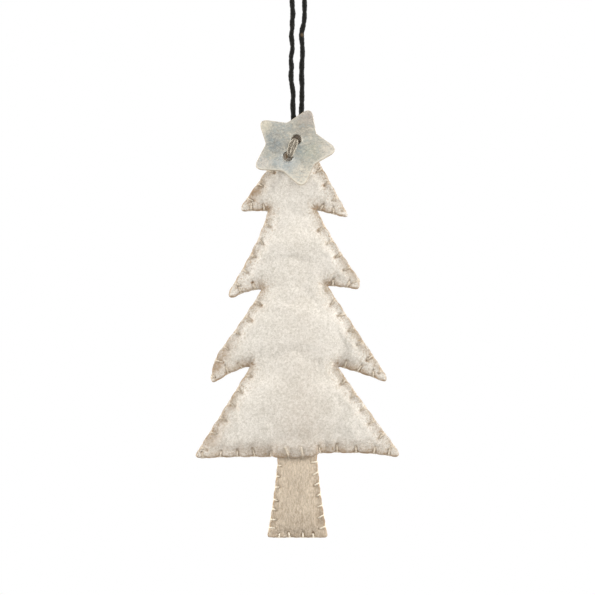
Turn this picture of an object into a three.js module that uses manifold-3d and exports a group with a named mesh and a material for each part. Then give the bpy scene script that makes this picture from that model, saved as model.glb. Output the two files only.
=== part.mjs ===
// A felt tree to hang up: two stitched felt sheets round a soft filling, a stuffed felt trunk,
// a shell star button on the tip, and a doubled waxed cord with a loop for a hook.
// Millimetres, +Z up. The origin is where a hook bears inside the loop. The front faces -Y.
import * as THREE from "three";
import { mergeVertices } from "three/addons/utils/BufferGeometryUtils.js";
import Module from "manifold-3d";

const wasm = await Module();
wasm.setup();

// Sizes shared by several pieces
const clearance = 0.3; // between neighbours that touch on the real thing
const feltThickness = 1.3;
const threadRadius = 0.25;
const cutOverrun = 30; // how far a cutting solid runs past what it cuts
const sheetCell = 3.1; // facet size of the felt sheets
const outlineSteps = 4; // along each curve of an outline
const reversedSteps = 208; // along an outline that is followed backwards
const swellCell = 1; // cell of the net on which the swelling is worked out
const searchStep = 0.25; // along an outline, where a place on it is looked for

// Tree
const treeWidth = 56.8;
const treeHeight = 91.8; // from the tip to the seam over the trunk
const treeTop = -47.6; // height of the tip below the hook
const treeCrown = 4.6; // how far the filling lifts the inner face of each sheet
const treeRest = 4.1; // the swelling is pressed flat at this lift
const treeMargin = 2.3; // unfilled rim, as wide as the stitches are long
const treePitch = 4.5; // from stitch to stitch

// Trunk
const trunkTopWidth = 10.9;
const trunkBaseWidth = 16.8;
const trunkDrop = 22.6; // from the seam to the base
const trunkTuck = 3.2; // length tucked between the tree's sheets
const trunkAside = -0.35; // its middle is left of the tip
const trunkCrown = 1.3;
const trunkMargin = 1.5;
const trunkPitch = 3.05;
const trunkBend = 8; // degrees each way at the seam
const trunkCorner = 0.9; // rounding of the base corners

// Star button
const starRadius = 12.29; // to the sharp tips, before rounding
const starWaist = 7; // to its inner corners
// Cut by hand: each tip's and inner corner's share of those, and degrees counterclockwise from
// its even place, clockwise from the tip that points up
const starTipShares = [0.976, 1.039, 0.976, 1.02, 0.988];
const starTipTurns = [-1.1, 1.5, 0.8, -2.1, 2.5];
const starWaistShares = [1.036, 1.05, 1.007, 1.007, 0.907];
const starWaistTurns = [-4.8, 3.5, 0.5, 3.2, -4.3];
const starThickness = 1.2;
const starTipRound = 2.3; // cut back along each side of a tip
const starWaistRound = 1.1;
const starAside = -1.65; // its middle is left of the tree's tip
const starDrop = 4.92; // and below it
const starTurn = 23.5; // degrees clockwise from upright
const starLean = 6; // degrees, the top leaning back
const holeRadius = 1.45;
const holeSides = 20;
const holeSpacing = 5.3;
const holeOffset = -0.5; // the holes' middle, along the tip that points up
const buttonThreadRadius = 0.85;
const buttonThreadBend = 1.3; // how far in from each hole the thread is level
const buttonThreadSteps = 14;

// Cord
const cordRadius = 0.7;
const cordSides = 8;
const archSteps = 20;
const strandSteps = 26;
const tailLength = 7.5; // inside the tip
const tailSpread = 0.85; // each tail's distance from their middle
const tailAside = -0.3; // their middle is left of the tip
const knotRadius = 1.7;
const knotHalfThickness = 1.25;

// Tree outline, clockwise from the tip: the control point and end point of each curve, across as
// shares of half the width and down as shares of the height
const treeOutlineShares = [
  [0.266, 0.128, 0.483, 0.253],
  [0.508, 0.268, 0.454, 0.266],
  [0.325, 0.255, 0.192, 0.245],
  [0.39, 0.352, 0.602, 0.454],
  [0.626, 0.488, 0.567, 0.486],
  [0.424, 0.477, 0.291, 0.476],
  [0.597, 0.607, 0.861, 0.744],
  [0.902, 0.774, 0.823, 0.765],
  [0.611, 0.739, 0.39, 0.721],
  [0.685, 0.849, 0.971, 0.973],
  [1.026, 1, 0.937, 0.997],
  [0.562, 0.988, 0.178, 0.994],
  [-0.394, 0.998, -0.937, 1.001],
  [-1.05, 1.003, -0.986, 0.977],
  [-0.738, 0.849, -0.478, 0.721],
  [-0.651, 0.733, -0.799, 0.766],
  [-0.878, 0.78, -0.848, 0.741],
  [-0.838, 0.706, -0.774, 0.675],
  [-0.567, 0.581, -0.36, 0.486],
  [-0.513, 0.489, -0.621, 0.51],
  [-0.705, 0.518, -0.676, 0.489],
  [-0.414, 0.345, -0.306, 0.248],
  [-0.409, 0.246, -0.513, 0.249],
  [-0.587, 0.25, -0.552, 0.229],
  [-0.293, 0.116, -0.035, 0.005],
  [0, -0.008, 0.035, 0.005],
];
const treeSeamShare = 0.995; // height of the seam over the trunk
const trunkWaistShare = 0.5; // where the trunk's sides bow in, as a share of its drop
const trunkBowShare = 0.28; // how far they have spread there, as a share of the whole spread

// Derived places
const halfGap = clearance / 2;
const seamZ = treeTop - treeSeamShare * treeHeight;
const bendRise = Math.sin(THREE.MathUtils.degToRad(trunkBend)) * trunkTuck;
const tabHalfThickness = halfGap + feltThickness;
const pocketHalf = tabHalfThickness + bendRise + clearance;
const swingZ = treeTop + cordRadius + clearance;
const tailTopZ = swingZ - cordRadius - clearance;
const knotZ = tailTopZ - tailLength - clearance - knotRadius;
const tailXs = [tailAside - tailSpread, tailAside + tailSpread];

const materials = {
  treeFelt: { color: 0xe9e2d8, roughness: 0.95 },
  trunkFelt: { color: 0xcfc2ad, roughness: 0.95 },
  filling: { color: 0xf4f2ec, roughness: 1 },
  treeThread: { color: 0xe6dccb, roughness: 0.8 },
  trunkThread: { color: 0xe8dcc4, roughness: 0.8 },
  shell: { color: 0xb9bdb6, roughness: 0.35 },
  buttonThread: { color: 0x8f857a, roughness: 0.8 },
  cord: { color: 0x17181a, roughness: 0.6 },
};

// Solids

function solidOf(geometry) {
  const bare = geometry.clone();
  bare.deleteAttribute("normal");
  bare.deleteAttribute("uv");
  const merged = mergeVertices(bare);
  return new wasm.Manifold(
    new wasm.Mesh({
      numProp: 3,
      vertProperties: Float32Array.from(merged.attributes.position.array),
      triVerts: Uint32Array.from(merged.index.array),
    }),
  );
}

function geometryOf(solid) {
  const mesh = solid.getMesh();
  const geometry = new THREE.BufferGeometry();
  geometry.setAttribute("position", new THREE.Float32BufferAttribute(mesh.vertProperties, 3));
  geometry.setIndex(new THREE.Uint32BufferAttribute(mesh.triVerts, 1));
  geometry.computeVertexNormals();
  return geometry;
}

// A prism with the outline as its section, drawn in X and Z, through the thickness
function prismOf(shape) {
  const geometry = new THREE.ExtrudeGeometry(shape, {
    depth: 2 * cutOverrun,
    bevelEnabled: false,
    curveSegments: outlineSteps,
  });
  geometry.rotateX(Math.PI / 2);
  geometry.translate(0, cutOverrun, 0);
  return solidOf(geometry);
}

function boxSolid(min, max) {
  const size = new THREE.Vector3().subVectors(max, min);
  const middle = new THREE.Vector3().addVectors(min, max).multiplyScalar(0.5);
  return solidOf(new THREE.BoxGeometry(size.x, size.y, size.z).translate(...middle));
}

// The net of square cells that a sheet over the box is made on
function netOver(box) {
  const columns = Math.ceil((box.max.x - box.min.x) / sheetCell) + 2;
  const rows = Math.ceil((box.max.y - box.min.y) / sheetCell) + 2;
  return {
    columns,
    rows,
    startX: (box.min.x + box.max.x - columns * sheetCell) / 2,
    startZ: (box.min.y + box.max.y - rows * sheetCell) / 2,
  };
}

// The same height read off the flat facets of a sheet over the box
function onFacets(box, height) {
  const { startX, startZ } = netOver(box);
  return (x, z) => {
    const i = Math.floor((x - startX) / sheetCell);
    const j = Math.floor((z - startZ) / sheetCell);
    const [u, v] = [(x - startX) / sheetCell - i, (z - startZ) / sheetCell - j];
    const at = (di, dj) => height(startX + (i + di) * sheetCell, startZ + (j + dj) * sheetCell);
    const [near, far] = [at(0, 0), at(1, 1)];
    if (u > v) return near + (at(1, 0) - near) * u + (far - at(1, 0)) * v;
    return near + (far - at(0, 1)) * u + (at(0, 1) - near) * v;
  };
}

// A sheet over a net in X and Z, from the surface y = low(x, z) to y = high(x, z)
function slab(box, low, high) {
  const { columns, rows, startX, startZ } = netOver(box);
  const positions = [];
  for (const face of [low, high]) {
    for (let j = 0; j <= rows; j += 1) {
      for (let i = 0; i <= columns; i += 1) {
        const x = startX + i * sheetCell;
        const z = startZ + j * sheetCell;
        positions.push(x, face(x, z), z);
      }
    }
  }
  const layer = (columns + 1) * (rows + 1);
  const at = (i, j) => j * (columns + 1) + i;
  const index = [];
  for (let j = 0; j < rows; j += 1) {
    for (let i = 0; i < columns; i += 1) {
      const [a, b, c, d] = [at(i, j), at(i + 1, j), at(i + 1, j + 1), at(i, j + 1)];
      index.push(a, b, c, a, c, d);
      index.push(layer + a, layer + c, layer + b, layer + a, layer + d, layer + c);
    }
  }
  const rim = [];
  for (let i = 0; i < columns; i += 1) rim.push([at(i, 0), at(i + 1, 0)]);
  for (let j = 0; j < rows; j += 1) rim.push([at(columns, j), at(columns, j + 1)]);
  for (let i = columns; i > 0; i -= 1) rim.push([at(i, rows), at(i - 1, rows)]);
  for (let j = rows; j > 0; j -= 1) rim.push([at(0, j), at(0, j - 1)]);
  for (const [p, q] of rim) {
    index.push(q, p, layer + p, q, layer + p, layer + q);
  }
  const geometry = new THREE.BufferGeometry();
  geometry.setAttribute("position", new THREE.Float32BufferAttribute(positions, 3));
  geometry.setIndex(index);
  return solidOf(geometry);
}

// Swelling

function distanceToOutline(outline, x, z) {
  let nearest = Infinity;
  for (let k = 0; k < outline.length; k += 1) {
    const a = outline[k];
    const b = outline[(k + 1) % outline.length];
    const [dx, dz] = [b.x - a.x, b.y - a.y];
    const along = ((x - a.x) * dx + (z - a.y) * dz) / (dx * dx + dz * dz || 1);
    const t = THREE.MathUtils.clamp(along, 0, 1);
    nearest = Math.min(nearest, Math.hypot(x - a.x - t * dx, z - a.y - t * dz));
  }
  return nearest;
}

function isInside(outline, x, z) {
  let inside = false;
  for (let k = 0; k < outline.length; k += 1) {
    const a = outline[k];
    const b = outline[(k + 1) % outline.length];
    if (a.y > z !== b.y > z && x < a.x + ((b.x - a.x) * (z - a.y)) / (b.y - a.y)) inside = !inside;
  }
  return inside;
}

// How far a filled skin lifts: a net held outside the filled part and pushed up evenly inside it
// settles, and its height, evened out, is scaled to the crown
function swellOf(outline, margin, crown) {
  const sweeps = 220;
  const overRelaxation = 1.85;
  const fullness = 0.62;
  const box = new THREE.Box2().setFromPoints(outline);
  const columns = Math.ceil((box.max.x - box.min.x) / swellCell) + 2;
  const rows = Math.ceil((box.max.y - box.min.y) / swellCell) + 2;
  const [startX, startZ] = [box.min.x - swellCell, box.min.y - swellCell];
  const net = new Float64Array((columns + 1) * (rows + 1));
  const free = [];
  for (let j = 1; j < rows; j += 1) {
    for (let i = 1; i < columns; i += 1) {
      const [x, z] = [startX + i * swellCell, startZ + j * swellCell];
      if (isInside(outline, x, z) && distanceToOutline(outline, x, z) > margin) {
        free.push(j * (columns + 1) + i);
      }
    }
  }
  for (let sweep = 0; sweep < sweeps; sweep += 1) {
    for (const k of free) {
      const around = net[k - 1] + net[k + 1] + net[k - columns - 1] + net[k + columns + 1];
      net[k] += overRelaxation * ((around + 1) / 4 - net[k]);
    }
  }
  const highest = net.reduce((most, value) => Math.max(most, value), 0);
  const lifts = net.map((value) => crown * Math.pow(value / highest, fullness));
  return (x, z) => {
    const u = THREE.MathUtils.clamp((x - startX) / swellCell, 0, columns - 1e-6);
    const v = THREE.MathUtils.clamp((z - startZ) / swellCell, 0, rows - 1e-6);
    const [i, j] = [Math.floor(u), Math.floor(v)];
    const k = j * (columns + 1) + i;
    const low = THREE.MathUtils.lerp(lifts[k], lifts[k + 1], u - i);
    const high = THREE.MathUtils.lerp(lifts[k + columns + 1], lifts[k + columns + 2], u - i);
    return THREE.MathUtils.lerp(low, high, v - j);
  };
}

// A raised place over something flat inside, falling away round it
function mound(middle, halfX, halfZ, height, fall) {
  return (x, z) => {
    const away = Math.hypot(
      Math.max(Math.abs(x - middle.x) - halfX, 0),
      Math.max(Math.abs(z - middle.y) - halfZ, 0),
    );
    return height * (1 - THREE.MathUtils.smoothstep(away, 0, fall));
  };
}

// Outlines

function treeShape() {
  const across = treeWidth / 2;
  const [, , endX, endZ] = treeOutlineShares[treeOutlineShares.length - 1];
  const shape = new THREE.Shape();
  shape.moveTo(endX * across, treeTop - endZ * treeHeight);
  for (const [controlX, controlZ, x, z] of treeOutlineShares) {
    shape.quadraticCurveTo(
      controlX * across,
      treeTop - controlZ * treeHeight,
      x * across,
      treeTop - z * treeHeight,
    );
  }
  return shape;
}

// The trunk from a given height down to its base. Above the seam its sides are upright.
function trunkShape(topZ) {
  const half = (width) => width / 2;
  const baseZ = seamZ - trunkDrop;
  const spread = half(trunkBaseWidth) - half(trunkTopWidth);
  const bowZ = seamZ - trunkWaistShare * trunkDrop;
  const bowX = half(trunkTopWidth) + trunkBowShare * spread;
  const shape = new THREE.Shape();
  shape.moveTo(trunkAside - half(trunkTopWidth), topZ);
  shape.lineTo(trunkAside + half(trunkTopWidth), topZ);
  if (topZ > seamZ) shape.lineTo(trunkAside + half(trunkTopWidth), seamZ);
  shape.quadraticCurveTo(
    trunkAside + bowX,
    bowZ,
    trunkAside + half(trunkBaseWidth),
    baseZ + trunkCorner,
  );
  shape.quadraticCurveTo(
    trunkAside + half(trunkBaseWidth),
    baseZ,
    trunkAside + half(trunkBaseWidth) - trunkCorner,
    baseZ,
  );
  shape.lineTo(trunkAside - half(trunkBaseWidth) + trunkCorner, baseZ);
  shape.quadraticCurveTo(
    trunkAside - half(trunkBaseWidth),
    baseZ,
    trunkAside - half(trunkBaseWidth),
    baseZ + trunkCorner,
  );
  shape.quadraticCurveTo(trunkAside - bowX, bowZ, trunkAside - half(trunkTopWidth), seamZ);
  return shape;
}

const treeOutline = treeShape();
const treePoints = treeOutline.getPoints(outlineSteps);
const treeBox = new THREE.Box2().setFromPoints(treePoints);
const trunkOutline = trunkShape(seamZ + trunkTuck);
const trunkPoints = trunkOutline.getPoints(outlineSteps);
const trunkBox = new THREE.Box2().setFromPoints(trunkPoints);

// How far the inner face of each sheet stands from the middle plane
const treeSwell = swellOf(treePoints, treeMargin, treeCrown);
const tailMound = mound(
  new THREE.Vector2(tailAside, treeTop - tailLength / 2),
  tailSpread + cordRadius + sheetCell,
  tailLength / 2 + sheetCell,
  cordRadius + clearance - halfGap,
  sheetCell,
);
const knotMound = mound(
  new THREE.Vector2(tailAside, knotZ),
  knotRadius + sheetCell / 2,
  knotRadius + sheetCell / 2,
  knotHalfThickness + clearance,
  2 * sheetCell,
);
const pocketMound = mound(
  new THREE.Vector2(trunkAside, seamZ),
  trunkTopWidth / 2 + sheetCell,
  trunkTuck + sheetCell,
  pocketHalf - halfGap,
  2 * sheetCell,
);
const treeFilled = (x, z) => Math.min(treeSwell(x, z), treeRest);
const treeLift = onFacets(
  treeBox,
  (x, z) =>
    halfGap + Math.max(treeFilled(x, z), tailMound(x, z), knotMound(x, z), pocketMound(x, z)),
);

const trunkSwell = swellOf(trunkShape(seamZ).getPoints(outlineSteps), trunkMargin, trunkCrown);
const trunkLift = onFacets(trunkBox, (x, z) => halfGap + trunkSwell(x, z));

// Felt sheets and fillings. side is -1 for the front and 1 for the back.

function feltSheet(shape, box, lift, side) {
  const inner = (x, z) => side * lift(x, z);
  const outer = (x, z) => side * (lift(x, z) + feltThickness);
  const sheet = side < 0 ? slab(box, outer, inner) : slab(box, inner, outer);
  return sheet.intersect(prismOf(shape));
}

// Outside the swelling the filling's faces run past each other, which ends it there
function filling(box, swell) {
  const half = (x, z) => (swell(x, z) > 0 ? swell(x, z) - halfGap : -sheetCell);
  const behindFront = slab(box, (x, z) => -half(x, z), () => cutOverrun);
  const beforeBack = slab(box, () => -cutOverrun, half);
  return behindFront.intersect(beforeBack);
}

function largestOf(solid) {
  const bodies = solid.decompose();
  return bodies.sort((a, b) => b.volume() - a.volume())[0];
}

function treeFilling() {
  const whole = filling(treeBox, treeFilled);
  const tipSpace = boxSolid(
    new THREE.Vector3(-cutOverrun, -cutOverrun, knotZ - knotRadius - clearance),
    new THREE.Vector3(cutOverrun, cutOverrun, treeTop),
  );
  const tabSpace = boxSolid(
    new THREE.Vector3(trunkAside - trunkTopWidth / 2 - clearance, -cutOverrun, seamZ - clearance),
    new THREE.Vector3(
      trunkAside + trunkTopWidth / 2 + clearance,
      cutOverrun,
      seamZ + trunkTuck + bendRise + clearance,
    ),
  );
  return largestOf(whole.subtract(tipSpace).subtract(tabSpace));
}

// Stitches: a thread line round the edge, and at each stitch a leg on both faces

function edgePoint(shape, share) {
  const point = shape.getPoint(share);
  const tangent = shape.getTangent(share);
  return { point, inward: new THREE.Vector2(tangent.y, -tangent.x) };
}

// Where the stitches and the bends of the thread line lie, in order, each clear of the felt across
// a notch
function stitchPlaces(shape, outline, startShare, endShare, pitch, outset) {
  const stepsPerStitch = 6;
  const straightAngle = THREE.MathUtils.degToRad(12);
  const clearShare = 0.95; // of the outset, to the nearest part of the outline
  const isClear = (share) => {
    const { point, inward } = edgePoint(shape, share);
    const [x, z] = [point.x - inward.x * outset, point.y - inward.y * outset];
    return distanceToOutline(outline, x, z) > clearShare * outset;
  };
  const count = Math.round((shape.getLength() * (endShare - startShare)) / pitch);
  const step = (endShare - startShare) / count / stepsPerStitch;
  const places = [];
  for (let k = 0; k < count; k += 1) {
    let share = startShare + (k + 0.5) * stepsPerStitch * step;
    while (!isClear(share)) share += step;
    places.push({ share, isStitch: true });
  }
  for (let k = 0; k <= count * stepsPerStitch; k += 1) {
    const share = startShare + k * step;
    const isEnd = k === 0 || k === count * stepsPerStitch;
    const nearStitch = places.some(
      (place) => place.isStitch && Math.abs(place.share - share) < step,
    );
    const before = edgePoint(shape, share - step).inward;
    const isBend = before.angleTo(edgePoint(shape, share + step).inward) > straightAngle;
    if (isEnd || (isBend && !nearStitch && isClear(share))) places.push({ share, isStitch: false });
  }
  return places.sort((a, b) => a.share - b.share);
}

// A square-sectioned thread line along the edge, at y = 0, with a leg over each face at each
// stitch. Where isCovered is true the front leg lies pressed flat under a neighbour and is left out.
function edgeStitch(shape, outline, startShare, endShare, pitch, legLength, lift, isCovered) {
  const outset = clearance + threadRadius;
  const positions = [];
  const index = [];
  const quad = (a, b, c, d) => index.push(a, b, c, a, c, d);
  const corner = (x, y, z) => positions.push(x, y, z) / 3 - 1;

  const spots = [];
  const places = stitchPlaces(shape, outline, startShare, endShare, pitch, outset);
  for (const { share, isStitch } of places) {
    const { point, inward } = edgePoint(shape, share);
    const middle = point.clone().addScaledVector(inward, -outset);
    const along = new THREE.Vector2(-inward.y, inward.x);
    if (isStitch) {
      for (const side of [-1, 1]) {
        const end = middle.clone().addScaledVector(along, side * threadRadius);
        spots.push({ middle: end, inward, edge: side < 0 ? { point, inward, along } : null });
      }
    } else {
      spots.push({ middle, inward: null, edge: null });
    }
  }

  // One ring of four corners a spot: front inner, front outer, back outer, back inner
  const rings = spots.map((spot, k) => {
    const before = spots[Math.max(k - 1, 0)].middle;
    const after = spots[Math.min(k + 1, spots.length - 1)].middle;
    const run = after.clone().sub(before).normalize();
    const inward = spot.inward ?? new THREE.Vector2(run.y, -run.x);
    return [
      [1, -1],
      [-1, -1],
      [-1, 1],
      [1, 1],
    ].map(([towards, y]) =>
      corner(
        spot.middle.x + towards * threadRadius * inward.x,
        y * threadRadius,
        spot.middle.y + towards * threadRadius * inward.y,
      ),
    );
  });

  // From the face of the line between two rings, up to the felt's face and then inwards over it
  const leg = (base, edge, side) => {
    const inside = (inset) => [
      edge.point.x + edge.inward.x * inset,
      edge.point.y + edge.inward.y * inset,
    ];
    const height = (inset) => lift(...inside(inset)) + feltThickness + clearance + threadRadius;
    // In a narrow tip a leg ends before it meets the legs from the other side
    let reach = legLength;
    while (reach > 0 && distanceToOutline(outline, ...inside(reach)) < reach - threadRadius) {
      reach -= threadRadius;
    }
    // The base starts at its inner corners on the front, and at its outer corners on the back
    const ring = (innerInset, outerInset, y) =>
      [
        [-1, side > 0],
        [1, side > 0],
        [1, side < 0],
        [-1, side < 0],
      ].map(([alongSide, isOuter]) => {
        const [x, z] = inside(isOuter ? outerInset : innerInset);
        return corner(
          x + alongSide * threadRadius * edge.along.x,
          side * (y + (isOuter ? threadRadius : -threadRadius)),
          z + alongSide * threadRadius * edge.along.y,
        );
      });
    const turnRing = ring(-outset + threadRadius, -outset - threadRadius, height(0));
    const endRing = ring(reach, reach, height(reach));
    let last = base;
    for (const next of [turnRing, endRing]) {
      for (let k = 0; k < 4; k += 1) quad(last[k], last[(k + 1) % 4], next[(k + 1) % 4], next[k]);
      last = next;
    }
    quad(...last);
  };

  quad(...rings[0]);
  quad(...[...rings[rings.length - 1]].reverse());
  for (let k = 0; k + 1 < rings.length; k += 1) {
    const [a, b] = [rings[k], rings[k + 1]];
    const edge = spots[k].edge;
    const hasFrontLeg = edge && !isCovered(edge.point);
    if (hasFrontLeg) leg([a[0], b[0], b[1], a[1]], edge, -1);
    else quad(a[0], b[0], b[1], a[1]);
    if (edge) leg([a[2], b[2], b[3], a[3]], edge, 1);
    else quad(a[2], b[2], b[3], a[3]);
    quad(a[1], b[1], b[2], a[2]);
    quad(a[3], b[3], b[0], a[0]);
  }
  const geometry = new THREE.BufferGeometry();
  geometry.setAttribute("position", new THREE.Float32BufferAttribute(positions, 3));
  geometry.setIndex(index);
  geometry.computeVertexNormals();
  return geometry;
}

// The share of the outline's length at which a test first holds
function shareWhere(shape, test) {
  const count = Math.ceil(shape.getLength() / searchStep);
  for (let k = 0; k <= count; k += 1) {
    if (test(shape.getPoint(k / count))) return k / count;
  }
  return 1;
}

const starMiddle = new THREE.Vector2(starAside, treeTop - starDrop);
const isUnderStar = (point) => point.distanceTo(starMiddle) < starRadius + treeMargin;
const neverCovered = () => false;

function treeStitchRuns() {
  const besideTrunk = trunkTopWidth / 2 + clearance + 2 * threadRadius;
  const besideTail = tailSpread + 2 * cordRadius + clearance;
  const nearSeam = (point) => point.y < seamZ + trunkTuck;
  return {
    right: [
      shareWhere(treeOutline, (point) => point.x > tailAside + besideTail),
      shareWhere(treeOutline, (point) => nearSeam(point) && point.x < trunkAside + besideTrunk),
    ],
    left: [
      shareWhere(treeOutline, (point) => nearSeam(point) && point.x < trunkAside - besideTrunk),
      1 - shareWhere(reversed(treeOutline), (point) => point.x < tailAside - besideTail),
    ],
  };
}

function reversed(shape) {
  return new THREE.Path(shape.getSpacedPoints(reversedSteps).reverse());
}

function trunkStitch() {
  const belowSeam = seamZ - clearance - threadRadius - bendRise;
  const start = shareWhere(trunkOutline, (point) => point.x > trunkAside && point.y < belowSeam);
  const turned = reversed(trunkOutline);
  const end = 1 - shareWhere(turned, (point) => point.x < trunkAside && point.y < belowSeam);
  return edgeStitch(
    trunkOutline,
    trunkPoints,
    start,
    end,
    trunkPitch,
    trunkMargin,
    trunkLift,
    neverCovered,
  );
}

// Star button, drawn upright and flat: X across, Y up, Z through it

function starShape() {
  const corners = [];
  for (let k = 0; k < 10; k += 1) {
    const isWaist = k % 2 === 1;
    const tip = Math.floor(k / 2);
    const turn = (isWaist ? starWaistTurns : starTipTurns)[tip];
    const angle = Math.PI / 2 - (k * Math.PI) / 5 + THREE.MathUtils.degToRad(turn);
    const radius = isWaist ? starWaist * starWaistShares[tip] : starRadius * starTipShares[tip];
    corners.push(new THREE.Vector2(Math.cos(angle) * radius, Math.sin(angle) * radius));
  }
  const shape = new THREE.Shape();
  corners.forEach((corner, k) => {
    const round = k % 2 ? starWaistRound : starTipRound;
    const before = corners[(k + 9) % 10].clone().sub(corner).setLength(round).add(corner);
    const after = corners[(k + 1) % 10].clone().sub(corner).setLength(round).add(corner);
    if (k === 0) shape.moveTo(before.x, before.y);
    else shape.lineTo(before.x, before.y);
    shape.quadraticCurveTo(corner.x, corner.y, after.x, after.y);
  });
  for (const side of [-1, 1]) {
    shape.holes.push(roundPath(0, holeOffset + (side * holeSpacing) / 2, holeRadius, holeSides));
  }
  return shape;
}

function starGeometry() {
  return new THREE.ExtrudeGeometry(starShape(), {
    depth: starThickness,
    bevelEnabled: false,
    curveSegments: 9,
  });
}

// The thread goes over the button's middle and down both holes
function buttonThreadGeometry() {
  const top = starThickness + clearance + buttonThreadRadius;
  const reach = holeSpacing / 2;
  const path = new THREE.CatmullRomCurve3(
    [
      new THREE.Vector3(0, holeOffset - reach, 0),
      new THREE.Vector3(0, holeOffset - reach, starThickness / 2),
      new THREE.Vector3(0, holeOffset - reach, starThickness),
      new THREE.Vector3(0, holeOffset - reach + buttonThreadBend, top),
      new THREE.Vector3(0, holeOffset + reach - buttonThreadBend, top),
      new THREE.Vector3(0, holeOffset + reach, starThickness),
      new THREE.Vector3(0, holeOffset + reach, starThickness / 2),
      new THREE.Vector3(0, holeOffset + reach, 0),
    ],
    false,
    "centripetal",
  );
  return tubeGeometry(path, buttonThreadRadius, buttonThreadSteps);
}

function roundPath(middleX, middleY, radius, sides) {
  const points = [];
  for (let s = 0; s < sides; s += 1) {
    const angle = (2 * Math.PI * s) / sides;
    points.push(
      new THREE.Vector2(middleX + radius * Math.cos(angle), middleY + radius * Math.sin(angle)),
    );
  }
  return new THREE.Shape(points);
}

function tubeGeometry(path, radius, steps) {
  const section = roundPath(0, 0, radius, cordSides);
  return new THREE.ExtrudeGeometry(section, { steps, bevelEnabled: false, extrudePath: path });
}

// How far in front of the tree's middle plane the star's back must lie, measured square to the
// star, to clear the felt wherever the star turns
function starSeat() {
  const lean = THREE.MathUtils.degToRad(starLean);
  let seat = 0;
  for (let x = -starRadius; x <= starRadius; x += swellCell) {
    for (let z = -starRadius; z <= starRadius; z += swellCell) {
      const [px, pz] = [starMiddle.x + x, starMiddle.y + z];
      if (Math.hypot(x, z) > starRadius || !isInside(treePoints, px, pz)) continue;
      const height = treeLift(px, pz) + feltThickness;
      seat = Math.max(seat, height * Math.cos(lean) + z * Math.sin(lean));
    }
  }
  return seat + clearance;
}

// The star's own frame: its back on the seat, its front towards -Y
function starGroup() {
  const lean = THREE.MathUtils.degToRad(starLean);
  const group = new THREE.Group();
  group.rotation.set(Math.PI / 2 - lean, 0, 0);
  const seat = starSeat();
  group.position.set(
    starMiddle.x,
    -seat * Math.cos(lean),
    starMiddle.y + seat * Math.sin(lean),
  );
  const turned = new THREE.Group();
  turned.rotation.z = -THREE.MathUtils.degToRad(starTurn);
  turned.add(meshOf("star_button", starGeometry(), materials.shell));
  turned.add(meshOf("button_thread", buttonThreadGeometry(), materials.buttonThread));
  group.add(turned);
  return group;
}

// The button's thread comes out of the back felt and goes in again beside it
function backThreadGeometry() {
  const out = (z) => treeLift(starMiddle.x, z) + feltThickness + clearance + buttonThreadRadius / 2;
  const half = holeSpacing / 2;
  const points = [-1, 0, 1].map((k) => {
    const z = starMiddle.y - tailSpread + k * half;
    return new THREE.Vector3(starMiddle.x, out(z), z);
  });
  return tubeGeometry(new THREE.CatmullRomCurve3(points), buttonThreadRadius / 2, 4);
}

// Cord. Its routes are in X and Z: the arch of the loop, then a strand down to the tip.
const archRoute = [
  [-2.1, -8], [-2.1, -7.4], [-2.3, -6.5], [-2.65, -5.5], [-3.0, -4.4], [-3.3, -3.3], [-3.35, -2.2],
  [-3.05, -1.1], [-2.4, -0.15], [-1.3, 0.5], [0, 0.7],
  [1.3, 0.5], [2.4, -0.15], [3.05, -1.1], [3.35, -2.2], [3.3, -3.3], [3.0, -4.4], [2.65, -5.5],
  [2.3, -6.5], [2.1, -7.4], [2.1, -8],
];
const strandRoutes = {
  left: [
    [-2.1, -8.3], [-1.98, -9.4], [-1.72, -10.9], [-1.57, -13.2], [-1.42, -15.1], [-1.62, -17.1],
    [-1.62, -19.1], [-1.86, -21], [-1.66, -23], [-1.56, -25], [-1.93, -27], [-1.97, -28.2],
    [-1.8, -29.9], [-1.95, -31.9], [-1.88, -33.8], [-1.56, -35.8], [-1.33, -37.8], [-1.44, -39.8],
    [-1.38, -42.1], [-1.2, -45.2], [-1.15, -46.6],
  ],
  right: [
    [2.1, -8.3], [2, -9.4], [1.84, -10.9], [1.84, -13.2], [1.8, -16.1], [1.56, -18],
    [1.14, -19.7], [0.97, -21], [1.06, -22.4], [1.2, -24], [1.26, -25.6], [1.23, -27.3],
    [1.08, -29], [1.04, -31], [1.01, -33], [1.14, -35], [1.1, -37], [1.09, -39],
    [0.95, -42.1], [0.66, -45.2], [0.55, -46.6],
  ],
};

function cordPath(route) {
  return new THREE.CatmullRomCurve3(
    route.map(([x, z]) => new THREE.Vector3(x, 0, z)),
    false,
    "centripetal",
  );
}

function strandSolid(route, endX) {
  const ball = new THREE.SphereGeometry(cordRadius, cordSides, cordSides / 2 + 1);
  ball.translate(endX, 0, swingZ);
  return solidOf(tubeGeometry(cordPath(route), cordRadius, strandSteps)).add(solidOf(ball));
}

function tailGeometry(x) {
  const path = new THREE.LineCurve3(
    new THREE.Vector3(x, 0, tailTopZ),
    new THREE.Vector3(x, 0, tailTopZ - tailLength),
  );
  return tubeGeometry(path, cordRadius, 1);
}

function knotGeometry() {
  const geometry = new THREE.SphereGeometry(knotRadius, 12, 8);
  geometry.scale(1, knotHalfThickness / knotRadius, 1);
  geometry.translate(tailAside, 0, knotZ);
  return geometry;
}

// Assembly

function meshOf(name, geometry, look) {
  const mesh = new THREE.Mesh(geometry, new THREE.MeshStandardMaterial({ metalness: 0, ...look }));
  mesh.name = name;
  return mesh;
}

const ornament = new THREE.Group();

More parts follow.
